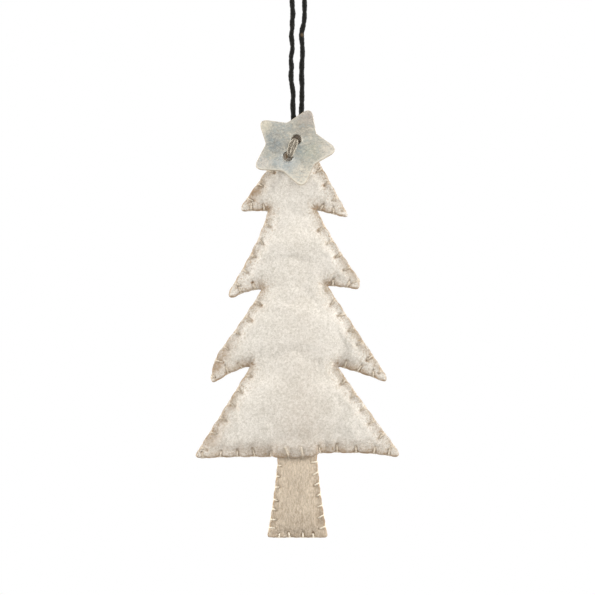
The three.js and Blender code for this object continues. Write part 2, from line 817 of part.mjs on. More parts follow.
const runs = treeStitchRuns();
const treeStitch = ([start, end]) =>
  edgeStitch(treeOutline, treePoints, start, end, treePitch, treeMargin, treeLift, isUnderStar);
ornament.add(
  meshOf(
    "tree_front_felt",
    geometryOf(feltSheet(treeOutline, treeBox, treeLift, -1)),
    materials.treeFelt,
  ),
  meshOf(
    "tree_back_felt",
    geometryOf(feltSheet(treeOutline, treeBox, treeLift, 1)),
    materials.treeFelt,
  ),
  meshOf("tree_stuffing", geometryOf(treeFilling()), materials.filling),
  meshOf("tree_edge_stitch_right", treeStitch(runs.right), materials.treeThread),
  meshOf("tree_edge_stitch_left", treeStitch(runs.left), materials.treeThread),
);

ornament.add(
  meshOf(
    "trunk_front_felt",
    geometryOf(feltSheet(trunkOutline, trunkBox, trunkLift, -1)),
    materials.trunkFelt,
  ),
  meshOf(
    "trunk_back_felt",
    geometryOf(feltSheet(trunkOutline, trunkBox, trunkLift, 1)),
    materials.trunkFelt,
  ),
  meshOf("trunk_stuffing", geometryOf(filling(trunkBox, trunkSwell)), materials.filling),
  meshOf("trunk_edge_stitch", trunkStitch(), materials.trunkThread),
);

ornament.add(starGroup());
ornament.add(meshOf("button_thread_back", backThreadGeometry(), materials.buttonThread));

ornament.add(
  meshOf("cord_loop", tubeGeometry(cordPath(archRoute), cordRadius, archSteps), materials.cord),
);
["left", "right"].forEach((side, k) => {
  const strand = strandSolid(strandRoutes[side], tailXs[k]);
  ornament.add(meshOf(`cord_strand_${side}`, geometryOf(strand), materials.cord));
  ornament.add(meshOf(`cord_tail_${side}`, tailGeometry(tailXs[k]), materials.cord));
});
ornament.add(meshOf("cord_knot", knotGeometry(), materials.cord));

export default ornament;
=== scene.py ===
import math

import bpy
import numpy as np
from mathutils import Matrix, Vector
from mathutils.bvhtree import BVHTree
from mathutils.geometry import delaunay_2d_cdt


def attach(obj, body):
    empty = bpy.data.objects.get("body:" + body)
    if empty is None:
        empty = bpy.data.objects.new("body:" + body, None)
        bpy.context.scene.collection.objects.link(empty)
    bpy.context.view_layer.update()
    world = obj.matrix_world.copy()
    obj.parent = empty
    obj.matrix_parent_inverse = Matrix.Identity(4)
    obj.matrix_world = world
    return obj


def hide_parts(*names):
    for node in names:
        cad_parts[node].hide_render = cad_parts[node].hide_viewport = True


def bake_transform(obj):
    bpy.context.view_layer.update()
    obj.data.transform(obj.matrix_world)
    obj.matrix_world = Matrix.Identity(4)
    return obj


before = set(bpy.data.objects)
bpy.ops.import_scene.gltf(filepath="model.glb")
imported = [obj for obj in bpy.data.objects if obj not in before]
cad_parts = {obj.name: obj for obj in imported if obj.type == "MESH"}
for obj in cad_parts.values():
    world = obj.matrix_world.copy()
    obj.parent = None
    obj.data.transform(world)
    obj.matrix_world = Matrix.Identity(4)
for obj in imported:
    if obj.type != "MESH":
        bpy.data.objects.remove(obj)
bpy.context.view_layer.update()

# A stuffed felt tree to hang up. Lengths are in millimetres until a piece is made.
mm = 0.001
print("frame loaded")


# Camera, level with the middle of the hanging tree

cameraSettings = {"x": -0.14, "z": -94.5, "away": 1000, "field": 166.6, "sensor": 36}


def makeCamera(c):
    data = bpy.data.cameras.new("camera")
    data.sensor_width = c["sensor"]
    data.lens = c["sensor"] * c["away"] / c["field"]
    holder = bpy.data.objects.new("camera", data)
    holder.location = Vector((c["x"], -c["away"], c["z"])) * mm
    holder.rotation_euler = (math.pi / 2, 0, 0)
    bpy.context.collection.objects.link(holder)
    bpy.context.scene.camera = holder


makeCamera(cameraSettings)
print("camera placed")


# Materials are built from expressions on the outputs of nodes

class Link:
    def __init__(self, paint, socket):
        self.paint, self.socket = paint, socket

    def math(self, operation, *values):
        return self.paint.add("ShaderNodeMath", {"operation": operation}, dict(enumerate(values)))

    def __add__(self, other):
        return self.math("ADD", self, other)

    __radd__ = __add__

    def __sub__(self, other):
        return self.math("SUBTRACT", self, other)

    def __rsub__(self, other):
        return self.math("SUBTRACT", other, self)

    def __mul__(self, other):
        return self.math("MULTIPLY", self, other)

    __rmul__ = __mul__

    def least(self, other):
        return self.math("MINIMUM", self, other)

    def between(self, low, high):  # 0 at low, 1 at high, smooth
        return self.paint.add(
            "ShaderNodeMapRange",
            {"interpolation_type": "SMOOTHSTEP"},
            {"Value": self, "From Min": low, "From Max": high},
        )


class Paint:
    def __init__(self, holder):  # a new material or world
        self.holder = holder
        holder.use_nodes = True
        self.tree = holder.node_tree
        self.tree.nodes.clear()

    def add(self, kind, settings=None, values=None, output=0):
        node = self.tree.nodes.new(kind)
        for key, value in (settings or {}).items():
            setattr(node, key, value)
        for key, value in (values or {}).items():
            if isinstance(value, Link):
                self.tree.links.new(value.socket, node.inputs[key])
            else:
                node.inputs[key].default_value = value
        return Link(self, node.outputs[output]) if node.outputs else None

    def place(self, stretch=(1, 1, 1)):  # in millimetres
        spot = self.add("ShaderNodeTexCoord", output="Object")
        scale = tuple(1000 * s for s in stretch)
        return self.add("ShaderNodeVectorMath", {"operation": "MULTIPLY"}, {0: spot, 1: scale})

    def noise(self, place, size, detail=3, roughness=0.5, distortion=0):
        values = {"Vector": place, "Scale": 1 / size, "Detail": detail}
        values |= {"Roughness": roughness, "Distortion": distortion}
        return self.add("ShaderNodeTexNoise", None, values)

    def cells(self, place, size):  # how far it is to the nearest wall between cells
        settings = {"feature": "DISTANCE_TO_EDGE"}
        return self.add("ShaderNodeTexVoronoi", settings, {"Vector": place, "Scale": 1 / size})

    def away(self, place, spot):
        values = {0: place, 1: spot}
        return self.add("ShaderNodeVectorMath", {"operation": "DISTANCE"}, values, "Value")

    def marked(self, name):
        return self.add("ShaderNodeAttribute", {"attribute_name": name}, output="Fac")

    def mix(self, share, a, b):
        values = {0: share}
        for key, value in ((6, a), (7, b)):
            values[key] = value if isinstance(value, Link) else (*value, 1)
        return self.add("ShaderNodeMix", {"data_type": "RGBA"}, values, output=2)

    def surface(self, color, roughness, gloss, height=None, depth=0, more=None):
        values = {"Base Color": color, "Roughness": roughness, "Specular IOR Level": gloss}
        if height:
            relief = {"Height": height, "Distance": depth * mm, "Strength": 1}
            values["Normal"] = self.add("ShaderNodeBump", None, relief)
        shader = self.add("ShaderNodeBsdfPrincipled", None, values | (more or {}))
        self.add("ShaderNodeOutputMaterial", None, {"Surface": shader})
        return self.holder


def newPaint(name):
    return Paint(bpy.data.materials.new(name))


feltLook = {
    "pale": (0.88, 0.825, 0.745), "grey": (0.60, 0.55, 0.465), "fibre": (0.44, 0.39, 0.31),
    "light": (0.95, 0.915, 0.85), "tan": (0.46, 0.325, 0.195), "shade": (0.36, 0.24, 0.14),
    "grain": 0.62, "fibres": 0.5, "flecks": 0.6, "rim": 0.95, "tanEdge": 2.4, "specks": 0.9,
    "wrinkleShade": 0.6,
}
trunkLook = {
    "pale": (0.72, 0.61, 0.475), "grey": (0.44, 0.353, 0.256), "fibre": (0.30, 0.235, 0.165),
    "light": (0.80, 0.70, 0.575), "tan": (0.42, 0.27, 0.145), "shade": (0.24, 0.17, 0.11),
    "grain": 0.42, "fibres": 0.7, "flecks": 0.45, "rim": 0.28, "tanEdge": 1.4, "specks": 0.4,
    "wrinkleShade": 0.2,
}


def feltPaint(name, look, nap):
    p = newPaint(name)
    place = p.place((1, 1, nap))
    cloud = p.noise(p.place(), 6, 2, 0.5)
    mottle = p.noise(place, look["grain"], 5, 0.75, 0.6)
    speck = p.noise(place, 0.3, 3, 0.7, 1.2)
    wool = p.cells(place, 0.55)
    strands = (1 - wool.between(0.0, 0.1)) * speck.between(0.4, 0.6)
    color = p.mix((mottle * 0.85 + cloud * 0.15).between(0.36, 0.66), look["pale"], look["grey"])
    color = p.mix(strands * look["fibres"], color, look["fibre"])
    color = p.mix(speck.between(0.5, 0.68) * look["flecks"], color, look["light"])
    patch = p.noise(p.place(), 1.6, 3, 0.6)
    # Patchy tan towards the cut edge, less at the tips
    rim = 1 - p.marked("rim").between(0.1, look["tanEdge"])
    tanEdge = rim * (0.15 + cloud.between(0.35, 0.65)) * patch * (0.3 + mottle) * look["rim"]
    color = p.mix(tanEdge.least(0.7), color, look["tan"])
    specks = p.noise(p.place(), 0.5, 3, 0.75, 0.4).between(0.52, 0.64)
    near = 1 - p.marked("rim").between(0.4, 5.5)
    color = p.mix(specks * near * (0.4 + patch) * look["specks"], color, look["tan"])
    # Fine wrinkles towards the cut edge: bumped, with painted shade in their creases
    ridge = p.noise(p.place(), 1.1, 3, 0.6, 0.8)
    wrinkle = (1 - ridge.between(0.5, 0.53)) * ridge.between(0.44, 0.5) * rim
    color = p.mix(wrinkle * look["wrinkleShade"], color, look["shade"])
    edge = p.marked("cut") * patch.between(0.38, 0.62) * (0.5 + mottle)
    color = p.mix(edge.least(1), color, look["tan"])
    broken = 0.12 + mottle + patch.between(0.3, 0.7) * 0.68
    color = p.mix((p.marked("shade") * broken).least(1), color, look["shade"])
    height = mottle * 0.5 + speck * 0.35 + strands * 0.3 - wrinkle * 0.4
    sheen = {"Sheen Weight": 0.1, "Sheen Roughness": 0.6}
    return p.surface(color, 0.95, 0.2, height, 0.2, sheen)


def threadPaint(name, color, deep, roughness=0.7, pitch=0.3):
    p = newPaint(name)
    grain = p.noise(p.place(), pitch, 3, 0.6, 0.4)
    return p.surface(p.mix(grain.between(0.35, 0.7), deep, color), roughness, 0.3, grain, 0.05)


def cordPaint():
    p = newPaint("waxedCord")
    place = p.place()
    grain = p.noise(place, 0.35, 4, 0.6, 0.6)
    wax = p.noise(place, 2.2, 3, 0.6)
    color = p.mix(grain.between(0.4, 0.75), (0.003, 0.003, 0.002), (0.013, 0.0125, 0.009))
    color = p.mix(wax.between(0.6, 0.8) * 0.3, color, (0.05, 0.047, 0.035))
    # A brown spot on the front of the right strand, at a height of -21
    brownSpot = (1 - p.away(place, (1.2, -0.8, -21)).between(0.2, 0.8)) * 0.6
    color = p.mix(brownSpot, color, (0.16, 0.11, 0.06))
    return p.surface(color, 0.5 + wax * 0.25, 0.14, grain, 0.06)


# Patches of the shell: where they are, how wide, and their colour
shellLook = {
    "base": (0.39, 0.372, 0.315),
    "patches": [
        (-9.8, -46.6, 3.4, (0.585, 0.535, 0.425), 0.85),
        (-4.9, -46.2, 3.4, (0.33, 0.345, 0.325), 0.75),
        (-6.9, -51.6, 4.4, (0.235, 0.25, 0.243), 0.92),
        (-3.6, -57.4, 4.2, (0.415, 0.44, 0.43), 0.88),
        (1.0, -53.2, 2.6, (0.29, 0.335, 0.33), 0.7), (-1.9, -44.6, 2.0, (0.34, 0.33, 0.29), 0.6),
        (2.8, -43.4, 3.8, (0.415, 0.355, 0.31), 0.85),
        (1.8, -47.4, 3.2, (0.33, 0.30, 0.25), 0.7), (3.6, -53.8, 3.4, (0.40, 0.40, 0.32), 0.6),
        (9.0, -52.9, 3.6, (0.61, 0.56, 0.475), 0.9), (1.0, -61.0, 3.6, (0.64, 0.59, 0.495), 0.9),
        (-10.4, -57.2, 3.4, (0.56, 0.525, 0.47), 0.9),
    ],
    "vein": (0.15, 0.13, 0.105),
    "glint": (0.72, 0.66, 0.54),
    "blue": (0.33, 0.385, 0.385),
    "rim": (0.31, 0.215, 0.125),
    "rim": (0.31, 0.215, 0.125), "rimPale": (0.56, 0.455, 0.325),
    # hole is the colour of painted shade on the walls down the holes
    # lip is the colour of a painted highlight on the lit bevel edge
    "lip": (0.84, 0.78, 0.66), "hole": (0.15, 0.09, 0.045),
}


def shellPaint(look):
    p = newPaint("shell")
    place = p.place()
    bend = p.noise(place, 3.2, 3, 0.6)
    color = p.mix(bend.between(0.3, 0.7), look["base"], tuple(1.15 * c for c in look["base"]))
    for x, z, wide, patch, share in look["patches"]:
        ragged = p.away(place, (x, -4, z)) + (bend - 0.5) * 5.5
        color = p.mix((1 - ragged.between(wide * 0.35, wide * 1.2)) * share, color, patch)
    fine = p.noise(place, 0.75, 5, 0.75, 1.2)
    cloud = p.noise(p.place((1, 1, 1.5)), 1.5, 4, 0.7, 1.6)
    layers = p.noise(p.place((1, 1, 2.2)), 2.4, 5, 0.7, 2.6)
    color = p.mix(layers.between(0.48, 0.68) * 0.5, color, look["vein"])
    color = p.mix(cloud.between(0.5, 0.64) * 0.4, color, look["glint"])
    color = p.mix(cloud.between(0.5, 0.34) * 0.5, color, look["blue"])
    color = p.mix(fine.between(0.48, 0.68) * 0.34, color, look["vein"])
    color = p.mix(fine.between(0.5, 0.34) * 0.32, color, look["glint"])
    seams = p.noise(p.place((0.5, 6, 0.5)), 1.3, 3, 0.6)
    layered = p.mix(seams.between(0.38, 0.62), look["rim"], look["rimPale"])
    color = p.mix(p.marked("rim") * 0.9, color, layered)
    # Painted highlight on the bevel where it faces the light
    color = p.mix(p.marked("lip") * 0.55, color, look["lip"])
    # Painted shade down the holes
    color = p.mix(p.marked("hole") * 0.95, color, look["hole"])
    coat = {"Coat Weight": 0.08, "Coat Roughness": 0.35}
    return p.surface(color, 0.4 + fine * 0.2, 0.35, fine * 0.4 + layers * 0.6, 0.06, coat)


paints = {
    "treeFelt": feltPaint("whiteWoolFelt", feltLook, 1),
    "trunkFelt": feltPaint("tanWoolFelt", trunkLook, 0.32),
    "filling": threadPaint("looseFilling", (0.9, 0.89, 0.86), (0.7, 0.69, 0.66), 0.95, 1.5),
    "treeThread": threadPaint("offWhiteThread", (0.78, 0.71, 0.605), (0.52, 0.43, 0.315)),
    "trunkThread": threadPaint("creamThread", (0.94, 0.87, 0.745), (0.80, 0.71, 0.56)),
    "taupeThread": threadPaint("taupeThread", (0.35, 0.305, 0.24), (0.11, 0.09, 0.065)),
    # Pale strands painted as highlights on the taupe thread
    "paleThread": threadPaint("paleThread", (0.76, 0.70, 0.585), (0.36, 0.31, 0.235)),
    "cord": cordPaint(),
    "shell": shellPaint(shellLook),
}
print("materials made")


# Making pieces

def pieceFrom(name, points, faces, paint, marks=None):
    mesh = bpy.data.meshes.new(name)
    mesh.from_pydata((np.asarray(points, float) * mm).tolist(), [], faces)
    mesh.shade_smooth()
    mesh.materials.append(paints[paint])
    for key, values in (marks or {}).items():
        mark = mesh.attributes.new(key, "FLOAT", "POINT")
        mark.data.foreach_set("value", np.asarray(values, np.float32))
    return shown(mesh)


def shown(mesh):
    piece = bpy.data.objects.new(mesh.name, mesh)
    bpy.context.collection.objects.link(piece)
    return piece


# What a piece stands for, and the body that it rides on, if any
def given(piece, nodes, body=None):
    if body:
        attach(piece, body)
    if nodes:
        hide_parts(*nodes)


def joined(parts):
    points, faces, count = [], [], 0
    for somePoints, someFaces in parts:
        points.append(somePoints)
        faces += [tuple(i + count for i in face) for face in someFaces]
        count += len(somePoints)
    return np.vstack(points), faces


def unit(vectors):
    return vectors / np.maximum(np.linalg.norm(vectors, axis=-1, keepdims=True), 1e-9)


def lengthsAlong(points):
    steps = np.linalg.norm(np.diff(points, axis=0), axis=1)
    return np.concatenate([[0], np.cumsum(steps)])


def evenly(points, spacing):
    along = lengthsAlong(points)
    at = np.linspace(0, along[-1], max(2, round(along[-1] / spacing)) + 1)
    return np.stack([np.interp(at, along, column) for column in points.T], axis=1)


# A quadratic curve's points at the shares t
def curve(a, control, b, t):
    t = t[:, None]
    return list((1 - t) ** 2 * a + 2 * t * (1 - t) * control + t**2 * b)


# A smooth line through points, with knots spaced by the root of the distance between them
def lineThrough(points, spacing):
    points = np.asarray(points, float)
    roots = np.sqrt(np.linalg.norm(np.diff(points, axis=0), axis=1))
    knots = np.concatenate([[0], np.cumsum(roots)])
    slopes = np.gradient(points, knots, axis=0)
    dense = []
    for k in range(len(points) - 1):
        wide = knots[k + 1] - knots[k]
        t = np.linspace(0, 1, 24, endpoint=False)[:, None]
        dense.append(
            (2 * t**3 - 3 * t**2 + 1) * points[k]
            + (t**3 - 2 * t**2 + t) * wide * slopes[k]
            + (3 * t**2 - 2 * t**3) * points[k + 1]
            + (t**3 - t**2) * wide * slopes[k + 1]
        )
    return evenly(np.vstack([*dense, points[-1:]]), spacing)


# Faces between rings of points. Each ring is a list of point numbers, all of the same length.
def bands(rings, turned=False):
    faces = []
    for a, b in zip(rings, rings[1:]):
        for k in range(len(a)):
            n = (k + 1) % len(a)
            quad = (int(a[k]), int(a[n]), int(b[n]), int(b[k]))
            faces.append(quad[::-1] if turned else quad)
    return faces


# A round or twisted strand along a line. plies is how many yarns lie round its middle.
def strand(line, radius, sides=8, plies=0, valley=1, turn=0):
    count = len(line)
    ahead = unit(np.gradient(line, axis=0))
    side = np.zeros((count, 3))
    side[0] = unit(np.cross(ahead[0], (0.13, 1, 0.21)))
    for k in range(1, count):
        side[k] = unit(side[k - 1] - ahead[k] * (side[k - 1] @ ahead[k]))
    other = np.cross(ahead, side)
    angle = np.linspace(0, 2 * math.pi, sides, endpoint=False)[None, :]
    turned = angle - np.broadcast_to(turn, (count,))[:, None]
    lobes = np.abs(np.cos(turned * plies / 2)) if plies else 1
    reach = np.broadcast_to(radius, (count,))[:, None] * (valley + (1 - valley) * lobes)
    cosine, sine = np.cos(angle)[..., None], np.sin(angle)[..., None]
    around = cosine * side[:, None] + sine * other[:, None]
    points = (line[:, None] + around * (reach * np.ones_like(angle))[..., None]).reshape(-1, 3)
    rings = np.arange(count * sides).reshape(count, sides).tolist()
    return points, bands(rings) + [tuple(rings[0][::-1]), tuple(rings[-1])]


# Two plies twisted together. valley is the share of the radius that the groove between them has.
def twisted(line, radius, pitch, start=0, sides=10, valley=0.72):
    return strand(line, radius, sides, 2, valley, 2 * math.pi * lengthsAlong(line) / pitch + start)


# Cord: one black waxed cord, doubled. Its routes are in x and z, as in the part's source.

cordSettings = {
    "thick": 1.4, "radius": 0.76, "valley": 0.83, "pitch": 7.4, "ring": 0.16, "sides": 24,
    "startTurn": 0.4,
    "meet": -20,  # height where the loop's legs end and the strands start
    "tailHeights": (-47.6, -51, -55.1), "tails": (-1.15, 0.55),
    # Two heights each for the loop and the strands, near their lower ends
    "loopBend": (-7.2, -15), "strandBend": (-45.2, -48.4),
    "top": (0, 0.7),
    "arch": [  # its left half, from below
        (-2.1, -8), (-2.1, -7.4), (-2.3, -6.5), (-2.65, -5.5), (-3.0, -4.4), (-3.3, -3.3),
        (-3.35, -2.2), (-3.05, -1.1), (-2.4, -0.15), (-1.3, 0.5),
    ],
    "left": [
        (-2.1, -8.3), (-1.98, -9.4), (-1.72, -10.9), (-1.57, -13.2), (-1.42, -15.1),
        (-1.62, -17.1), (-1.62, -19.1), (-1.86, -21), (-1.66, -23), (-1.56, -25), (-1.93, -27),
        (-1.97, -28.2), (-1.8, -29.9), (-1.95, -31.9), (-1.88, -33.8), (-1.56, -35.8),
        (-1.33, -37.8), (-1.44, -39.8), (-1.38, -42.1), (-1.2, -45.2), (-1.15, -46.6),
    ],
    "right": [
        (2.1, -8.3), (2, -9.4), (1.84, -10.9), (1.84, -13.2), (1.8, -16.1), (1.56, -18),
        (1.14, -19.7), (0.97, -21), (1.06, -22.4), (1.2, -24), (1.26, -25.6), (1.23, -27.3),
        (1.08, -29), (1.04, -31), (1.01, -33), (1.14, -35), (1.1, -37), (1.09, -39),
        (0.95, -42.1), (0.66, -45.2), (0.55, -46.6),
    ],
}


def cordPiece(name, line, startTurn, c):
    along = lengthsAlong(line)
    waver = 0.5 * np.sin(along / 5.3 + startTurn) + 0.35 * np.sin(along / 2.1 + 2 * startTurn)
    turn = startTurn + 2 * math.pi * along / c["pitch"] + waver
    swell = 0.97 + 0.04 * np.sin(along / 1.7 + startTurn) + 0.03 * np.sin(along / 0.21 + turn)
    swell += 0.04 * np.sin(along / 6.1 - 0.7)
    reach = c["radius"] * np.clip(swell, 0.86, 1.05)
    points, faces = strand(line, reach, c["sides"], 2, c["valley"], turn)
    return pieceFrom(name, points, faces, "cord"), turn[-1]


def makeCord(c):
    left, right = ([(x, z) for z in c["tailHeights"]] for x in c["tails"])
    arch = [*c["arch"], c["top"], *((-x, z) for x, z in c["arch"][::-1])]
    whole = left[::-1] + c["left"][::-1] + arch + c["right"] + right
    line = lineThrough([(x, 0, z) for x, z in whole], c["ring"])
    high = np.nonzero(line[:, 2] >= c["meet"])[0]
    first, last = high[0], high[-1]
    exits = [(x, 0, c["tailHeights"][0]) for x in c["tails"]]
    turn, made = c["startTurn"], {}
    for name, part in (
        ("cordStrandLeft", line[: first + 1]),
        ("cordLoop", line[first : last + 1]),
        ("cordStrandRight", line[last:]),
    ):
        piece, turn = cordPiece(name, part, turn, c)
        made[name] = piece, part
    left = "cordStrandLeft", exits[0], ["cord_strand_left", "cord_tail_left"]
    right = "cordStrandRight", exits[1], ["cord_strand_right", "cord_tail_right"]
    loop = "cordLoop", line[first], ["cord_loop"]
    for name, start, nodes, above, below, heights in (
        (*left, "cord_strands", "tree", c["strandBend"]),
        (*right, "cord_strands", "tree", c["strandBend"]),
        (*loop, "hanging_loop", "cord_strands", c["loopBend"]),
    ):
        piece, part = made[name]
        given(piece, nodes)
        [(0, 0, z * mm) for z in heights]
        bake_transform(piece)
        (part * mm).tolist()


makeCord(cordSettings)
print("cord made")


# The knot that keeps the tails in the tip: an overhand knot drawn tight

knotSettings = {
    "x": -0.3, "z": -57.1, "wide": 0.62, "deep": 0.75, "radius": 0.52, "steps": 90,
    "sides": 12, "valley": 0.7,
}


def makeKnot(c):
    t = np.linspace(0, 2 * math.pi, c["steps"])
    x = c["x"] + c["wide"] * (np.sin(t) + 0.75 * np.sin(2 * t))
    z = c["z"] + c["wide"] * (np.cos(t) - 0.75 * np.cos(2 * t))
    line = np.stack([x, c["deep"] * -np.sin(3 * t), z], axis=1)
    made = strand(line, c["radius"], c["sides"], 2, c["valley"], t * 3)
    given(pieceFrom("cordKnot", *made, "cord"), ["cord_knot"], "tree")


makeKnot(knotSettings)
print("knot made")


# Outlines and nets in x and z

class Outline:
    def __init__(self, points, spacing=0.3):
        closed = evenly(np.vstack([points, points[:1]]), spacing)
        self.points = closed[:-1]
        self.along = lengthsAlong(closed)[:-1]
        self.total = lengthsAlong(closed)[-1]
        ahead = unit(np.roll(self.points, -1, axis=0) - np.roll(self.points, 1, axis=0))
        self.inward = np.stack([ahead[:, 1], -ahead[:, 0]], axis=1)

    # The same line moved inward, point for point
    def moved(self, inset):
        other = Outline(self.points)
        other.points, other.inward = self.points + self.inward * inset, self.inward
        closed = np.vstack([other.points, other.points[:1]])
        other.along, other.total = lengthsAlong(closed)[:-1], lengthsAlong(closed)[-1]
        return other

    def at(self, places):
        places = np.asarray(places, float) % self.total
        along = np.append(self.along, self.total)
        columns = np.hstack([self.points, self.inward])
        columns = np.vstack([columns, columns[:1]])
        values = np.stack([np.interp(places, along, column) for column in columns.T], axis=-1)
        return values[..., :2], unit(values[..., 2:])

    # 1 at sharp tips, 0 along the sides and in the notches
    def tips(self, wide):
        before, after = (self.at(self.along + s)[1] for s in (-wide, wide))
        turned = before[:, 0] * after[:, 1] - before[:, 1] * after[:, 0]
        bent = np.degrees(np.arctan2(-turned, (before * after).sum(1)))
        return np.clip(np.abs(bent) / 70 * (bent > 0), 0, 1)

    # How far each spot is from the line, and where along it
    def nearest(self, spots):
        a = self.points
        step = np.roll(a, -1, axis=0) - a
        size = (step**2).sum(1)
        away, along = [], []
        for chunk in np.array_split(spots, max(1, len(spots) // 1500)):
            gap = chunk[:, None] - a[None]
            t = np.clip((gap * step).sum(2) / size, 0, 1)
            far = ((gap - t[..., None] * step) ** 2).sum(2)
            k = far.argmin(1)
            row = np.arange(len(chunk))
            away.append(np.sqrt(far[row, k]))
            along.append(self.along[k] + t[row, k] * np.sqrt(size[k]))
        return np.concatenate(away), np.concatenate(along)

    def holds(self, spots):
        a, b = self.points, np.roll(self.points, -1, axis=0)
        inside = []
        for chunk in np.array_split(spots, max(1, len(spots) // 3000)):
            x, z = chunk[:, :1], chunk[:, 1:]
            crosses = (a[:, 1] > z) != (b[:, 1] > z)
            rise = np.where(b[:, 1] == a[:, 1], 1e-12, b[:, 1] - a[:, 1])
            reach = a[:, 0] + (b[:, 0] - a[:, 0]) * (z - a[:, 1]) / rise
            inside.append((crosses & (x < reach)).sum(1) % 2)
        return np.concatenate(inside).astype(bool)


# Values at evenly spaced places, read between them with a cubic spline
class Net:
    def __init__(self, low, cell, values):
        self.low, self.cell, self.values = np.asarray(low, float), cell, values

    def at(self, spots):
        place = (spots - self.low) / self.cell
        base = np.floor(place).astype(int)
        t = place - base
        near, far = (3 * t**3 - 6 * t**2 + 4) / 6, (-3 * t**3 + 3 * t**2 + 3 * t + 1) / 6
        weights = (1 - t) ** 3 / 6, near, far, t**3 / 6
        total = 0
        rows, columns = self.values.shape[:2]
        for j in range(4):
            row = np.clip(base[:, 1] + j - 1, 0, rows - 1)
            for i in range(4):
                column = np.clip(base[:, 0] + i - 1, 0, columns - 1)
                total = total + self.values[row, column] * weights[i][:, 0] * weights[j][:, 1]
        return total


# Lumps of a given size, the same every run
def lumps(spots, size, seed):
    low = spots.min(0) - 3 * size
    shape = np.ceil((spots.max(0) - low) / size).astype(int) + 6
    values = np.random.default_rng(seed).normal(size=(shape[1], shape[0]))
    return Net(low, size, values).at(spots)


def smoothMost(a, b, soft):
    return 0.5 * (a + b + np.sqrt((a - b) ** 2 + soft**2))


def ramp(values, low, high):
    t = np.clip((values - low) / (high - low), 0, 1)
    return t * t * (3 - 2 * t)


# Twice the area of flat triangles, below 0 when their corners run clockwise
def turning(a, b, c):
    return (b[..., 0] - a[..., 0]) * (c[..., 1] - a[..., 1]) - (b[..., 1] - a[..., 1]) * (
        c[..., 0] - a[..., 0]
    )


# Triangles between flat spots and inside loops of them. order is where each spot ended up.
def triangulated(spots, loops, accuracy):
    made = delaunay_2d_cdt([Vector(s) for s in spots], [], loops, 1, accuracy, True)
    order = {old: new for new, olds in enumerate(made[3]) for old in olds}
    return np.array([tuple(v) for v in made[0]]), made[2], order


# Triangles inside a boundary: rows beside the edge, then hexagons, wider apart further in
def filled(boundary, rows, bands, extra=None):
    spots = [boundary.points]
    taken = set()
    for inset in rows:
        row = boundary.points + boundary.inward * inset
        away, _ = boundary.nearest(row)
        fits = boundary.holds(row) & (away > 0.9 * inset)
        kept = []
        for spot in row[fits]:
            key = (round(spot[0] / 0.17), round(spot[1] / 0.17))
            if key not in taken:
                taken.add(key)
                kept.append(spot)
        spots.append(np.array(kept).reshape(-1, 2))
    if extra is not None:
        away, _ = boundary.nearest(extra)
        extra = extra[boundary.holds(extra) & (away > rows[-1] + 0.1)]
        spots.append(extra)
    low, high = boundary.points.min(0), boundary.points.max(0)
    for near, far, cell in bands:
        xs, zs = np.arange(low[0], high[0], cell), np.arange(low[1], high[1], cell * 0.866)
        grid = np.array([(x + (k % 2) * cell / 2, z) for k, z in enumerate(zs) for x in xs])
        away, _ = boundary.nearest(grid)
        kept = boundary.holds(grid) & (away > near) & (away <= far)
        if extra is not None and near < 3:
            for chunk in np.array_split(np.nonzero(kept)[0], 8):
                gap = np.abs(grid[chunk][:, None] - extra[None]).max(2).min(1)
                kept[chunk] = gap > 0.2
        spots.append(grid[kept])
    spots = np.vstack(spots)
    count = len(boundary.points)
    places, faces, order = triangulated(spots, [list(range(count))], 1e-5)
    faces = np.array([face for face in faces if len(face) == 3])
    a, b, c = (places[faces[:, k]] for k in range(3))
    turn = turning(a, b, c)
    faces[turn < 0] = faces[turn < 0][:, ::-1]
    fits = (np.abs(turn) > 1e-9) & boundary.holds((a + b + c) / 3)
    return places, faces[fits], [order[k] for k in range(count)]


# Where a grid over an outline starts, and how many columns and rows it has
def gridOver(outline, cell, margin):
    low = outline.points.min(0) - margin * cell
    return low, np.ceil((outline.points.max(0) + margin * cell - low) / cell).astype(int)


# How far a skin over soft filling lifts, from 0 at the seam towards 1. reach is how far inside
# the seam the filling still gives way.
def evenSwell(outline, margin, reach, cell=0.6, rounds=900):
    low, shape = gridOver(outline, cell, 4)
    xs, zs = low[0] + cell * np.arange(shape[0]), low[1] + cell * np.arange(shape[1])
    spots = np.stack(np.meshgrid(xs, zs), axis=-1).reshape(-1, 2)
    away, _ = outline.nearest(spots)
    free = (outline.holds(spots) & (away > margin)).reshape(shape[1], shape[0])
    net = np.zeros(free.shape)
    give = (cell / reach) ** 2
    for _ in range(rounds):
        around = sum(np.roll(net, step, axis) for axis in (0, 1) for step in (1, -1))
        net = np.where(free, (around + give) / (4 + give), 0)
    return Net(low, cell, net)


# A flat net as a closed case. Both sides share the spots on the rim.
def cased(spots, faces, onRim, front, back):
    backAt = np.where(onRim, np.arange(len(spots)), len(spots) + np.cumsum(~onRim) - 1)
    front, back = (np.stack([spots[:, 0], y, spots[:, 1]], axis=1) for y in (-front, back))
    everyFace = np.vstack([faces, backAt[faces][:, ::-1]])
    return np.vstack([front, back[~onRim]]), everyFace.tolist(), backAt


# Cloth: a case of two sheets, held at the rim and blown up by its filling, ten times full size.
# cap is how far a spot may move, in millimetres.
clothSettings = {
    "size": 0.01, "frames": 20, "cap": 7, "startLift": 0.35, "startFall": 3,
    "cloth": {
        "quality": 6, "mass": 0.25, "tension_stiffness": 12, "compression_stiffness": 12,
        "shear_stiffness": 4, "bending_stiffness": 0.6, "tension_damping": 8,
        "compression_damping": 8, "air_damping": 2, "use_pressure": True,
        "uniform_pressure_force": 4,
    },
}


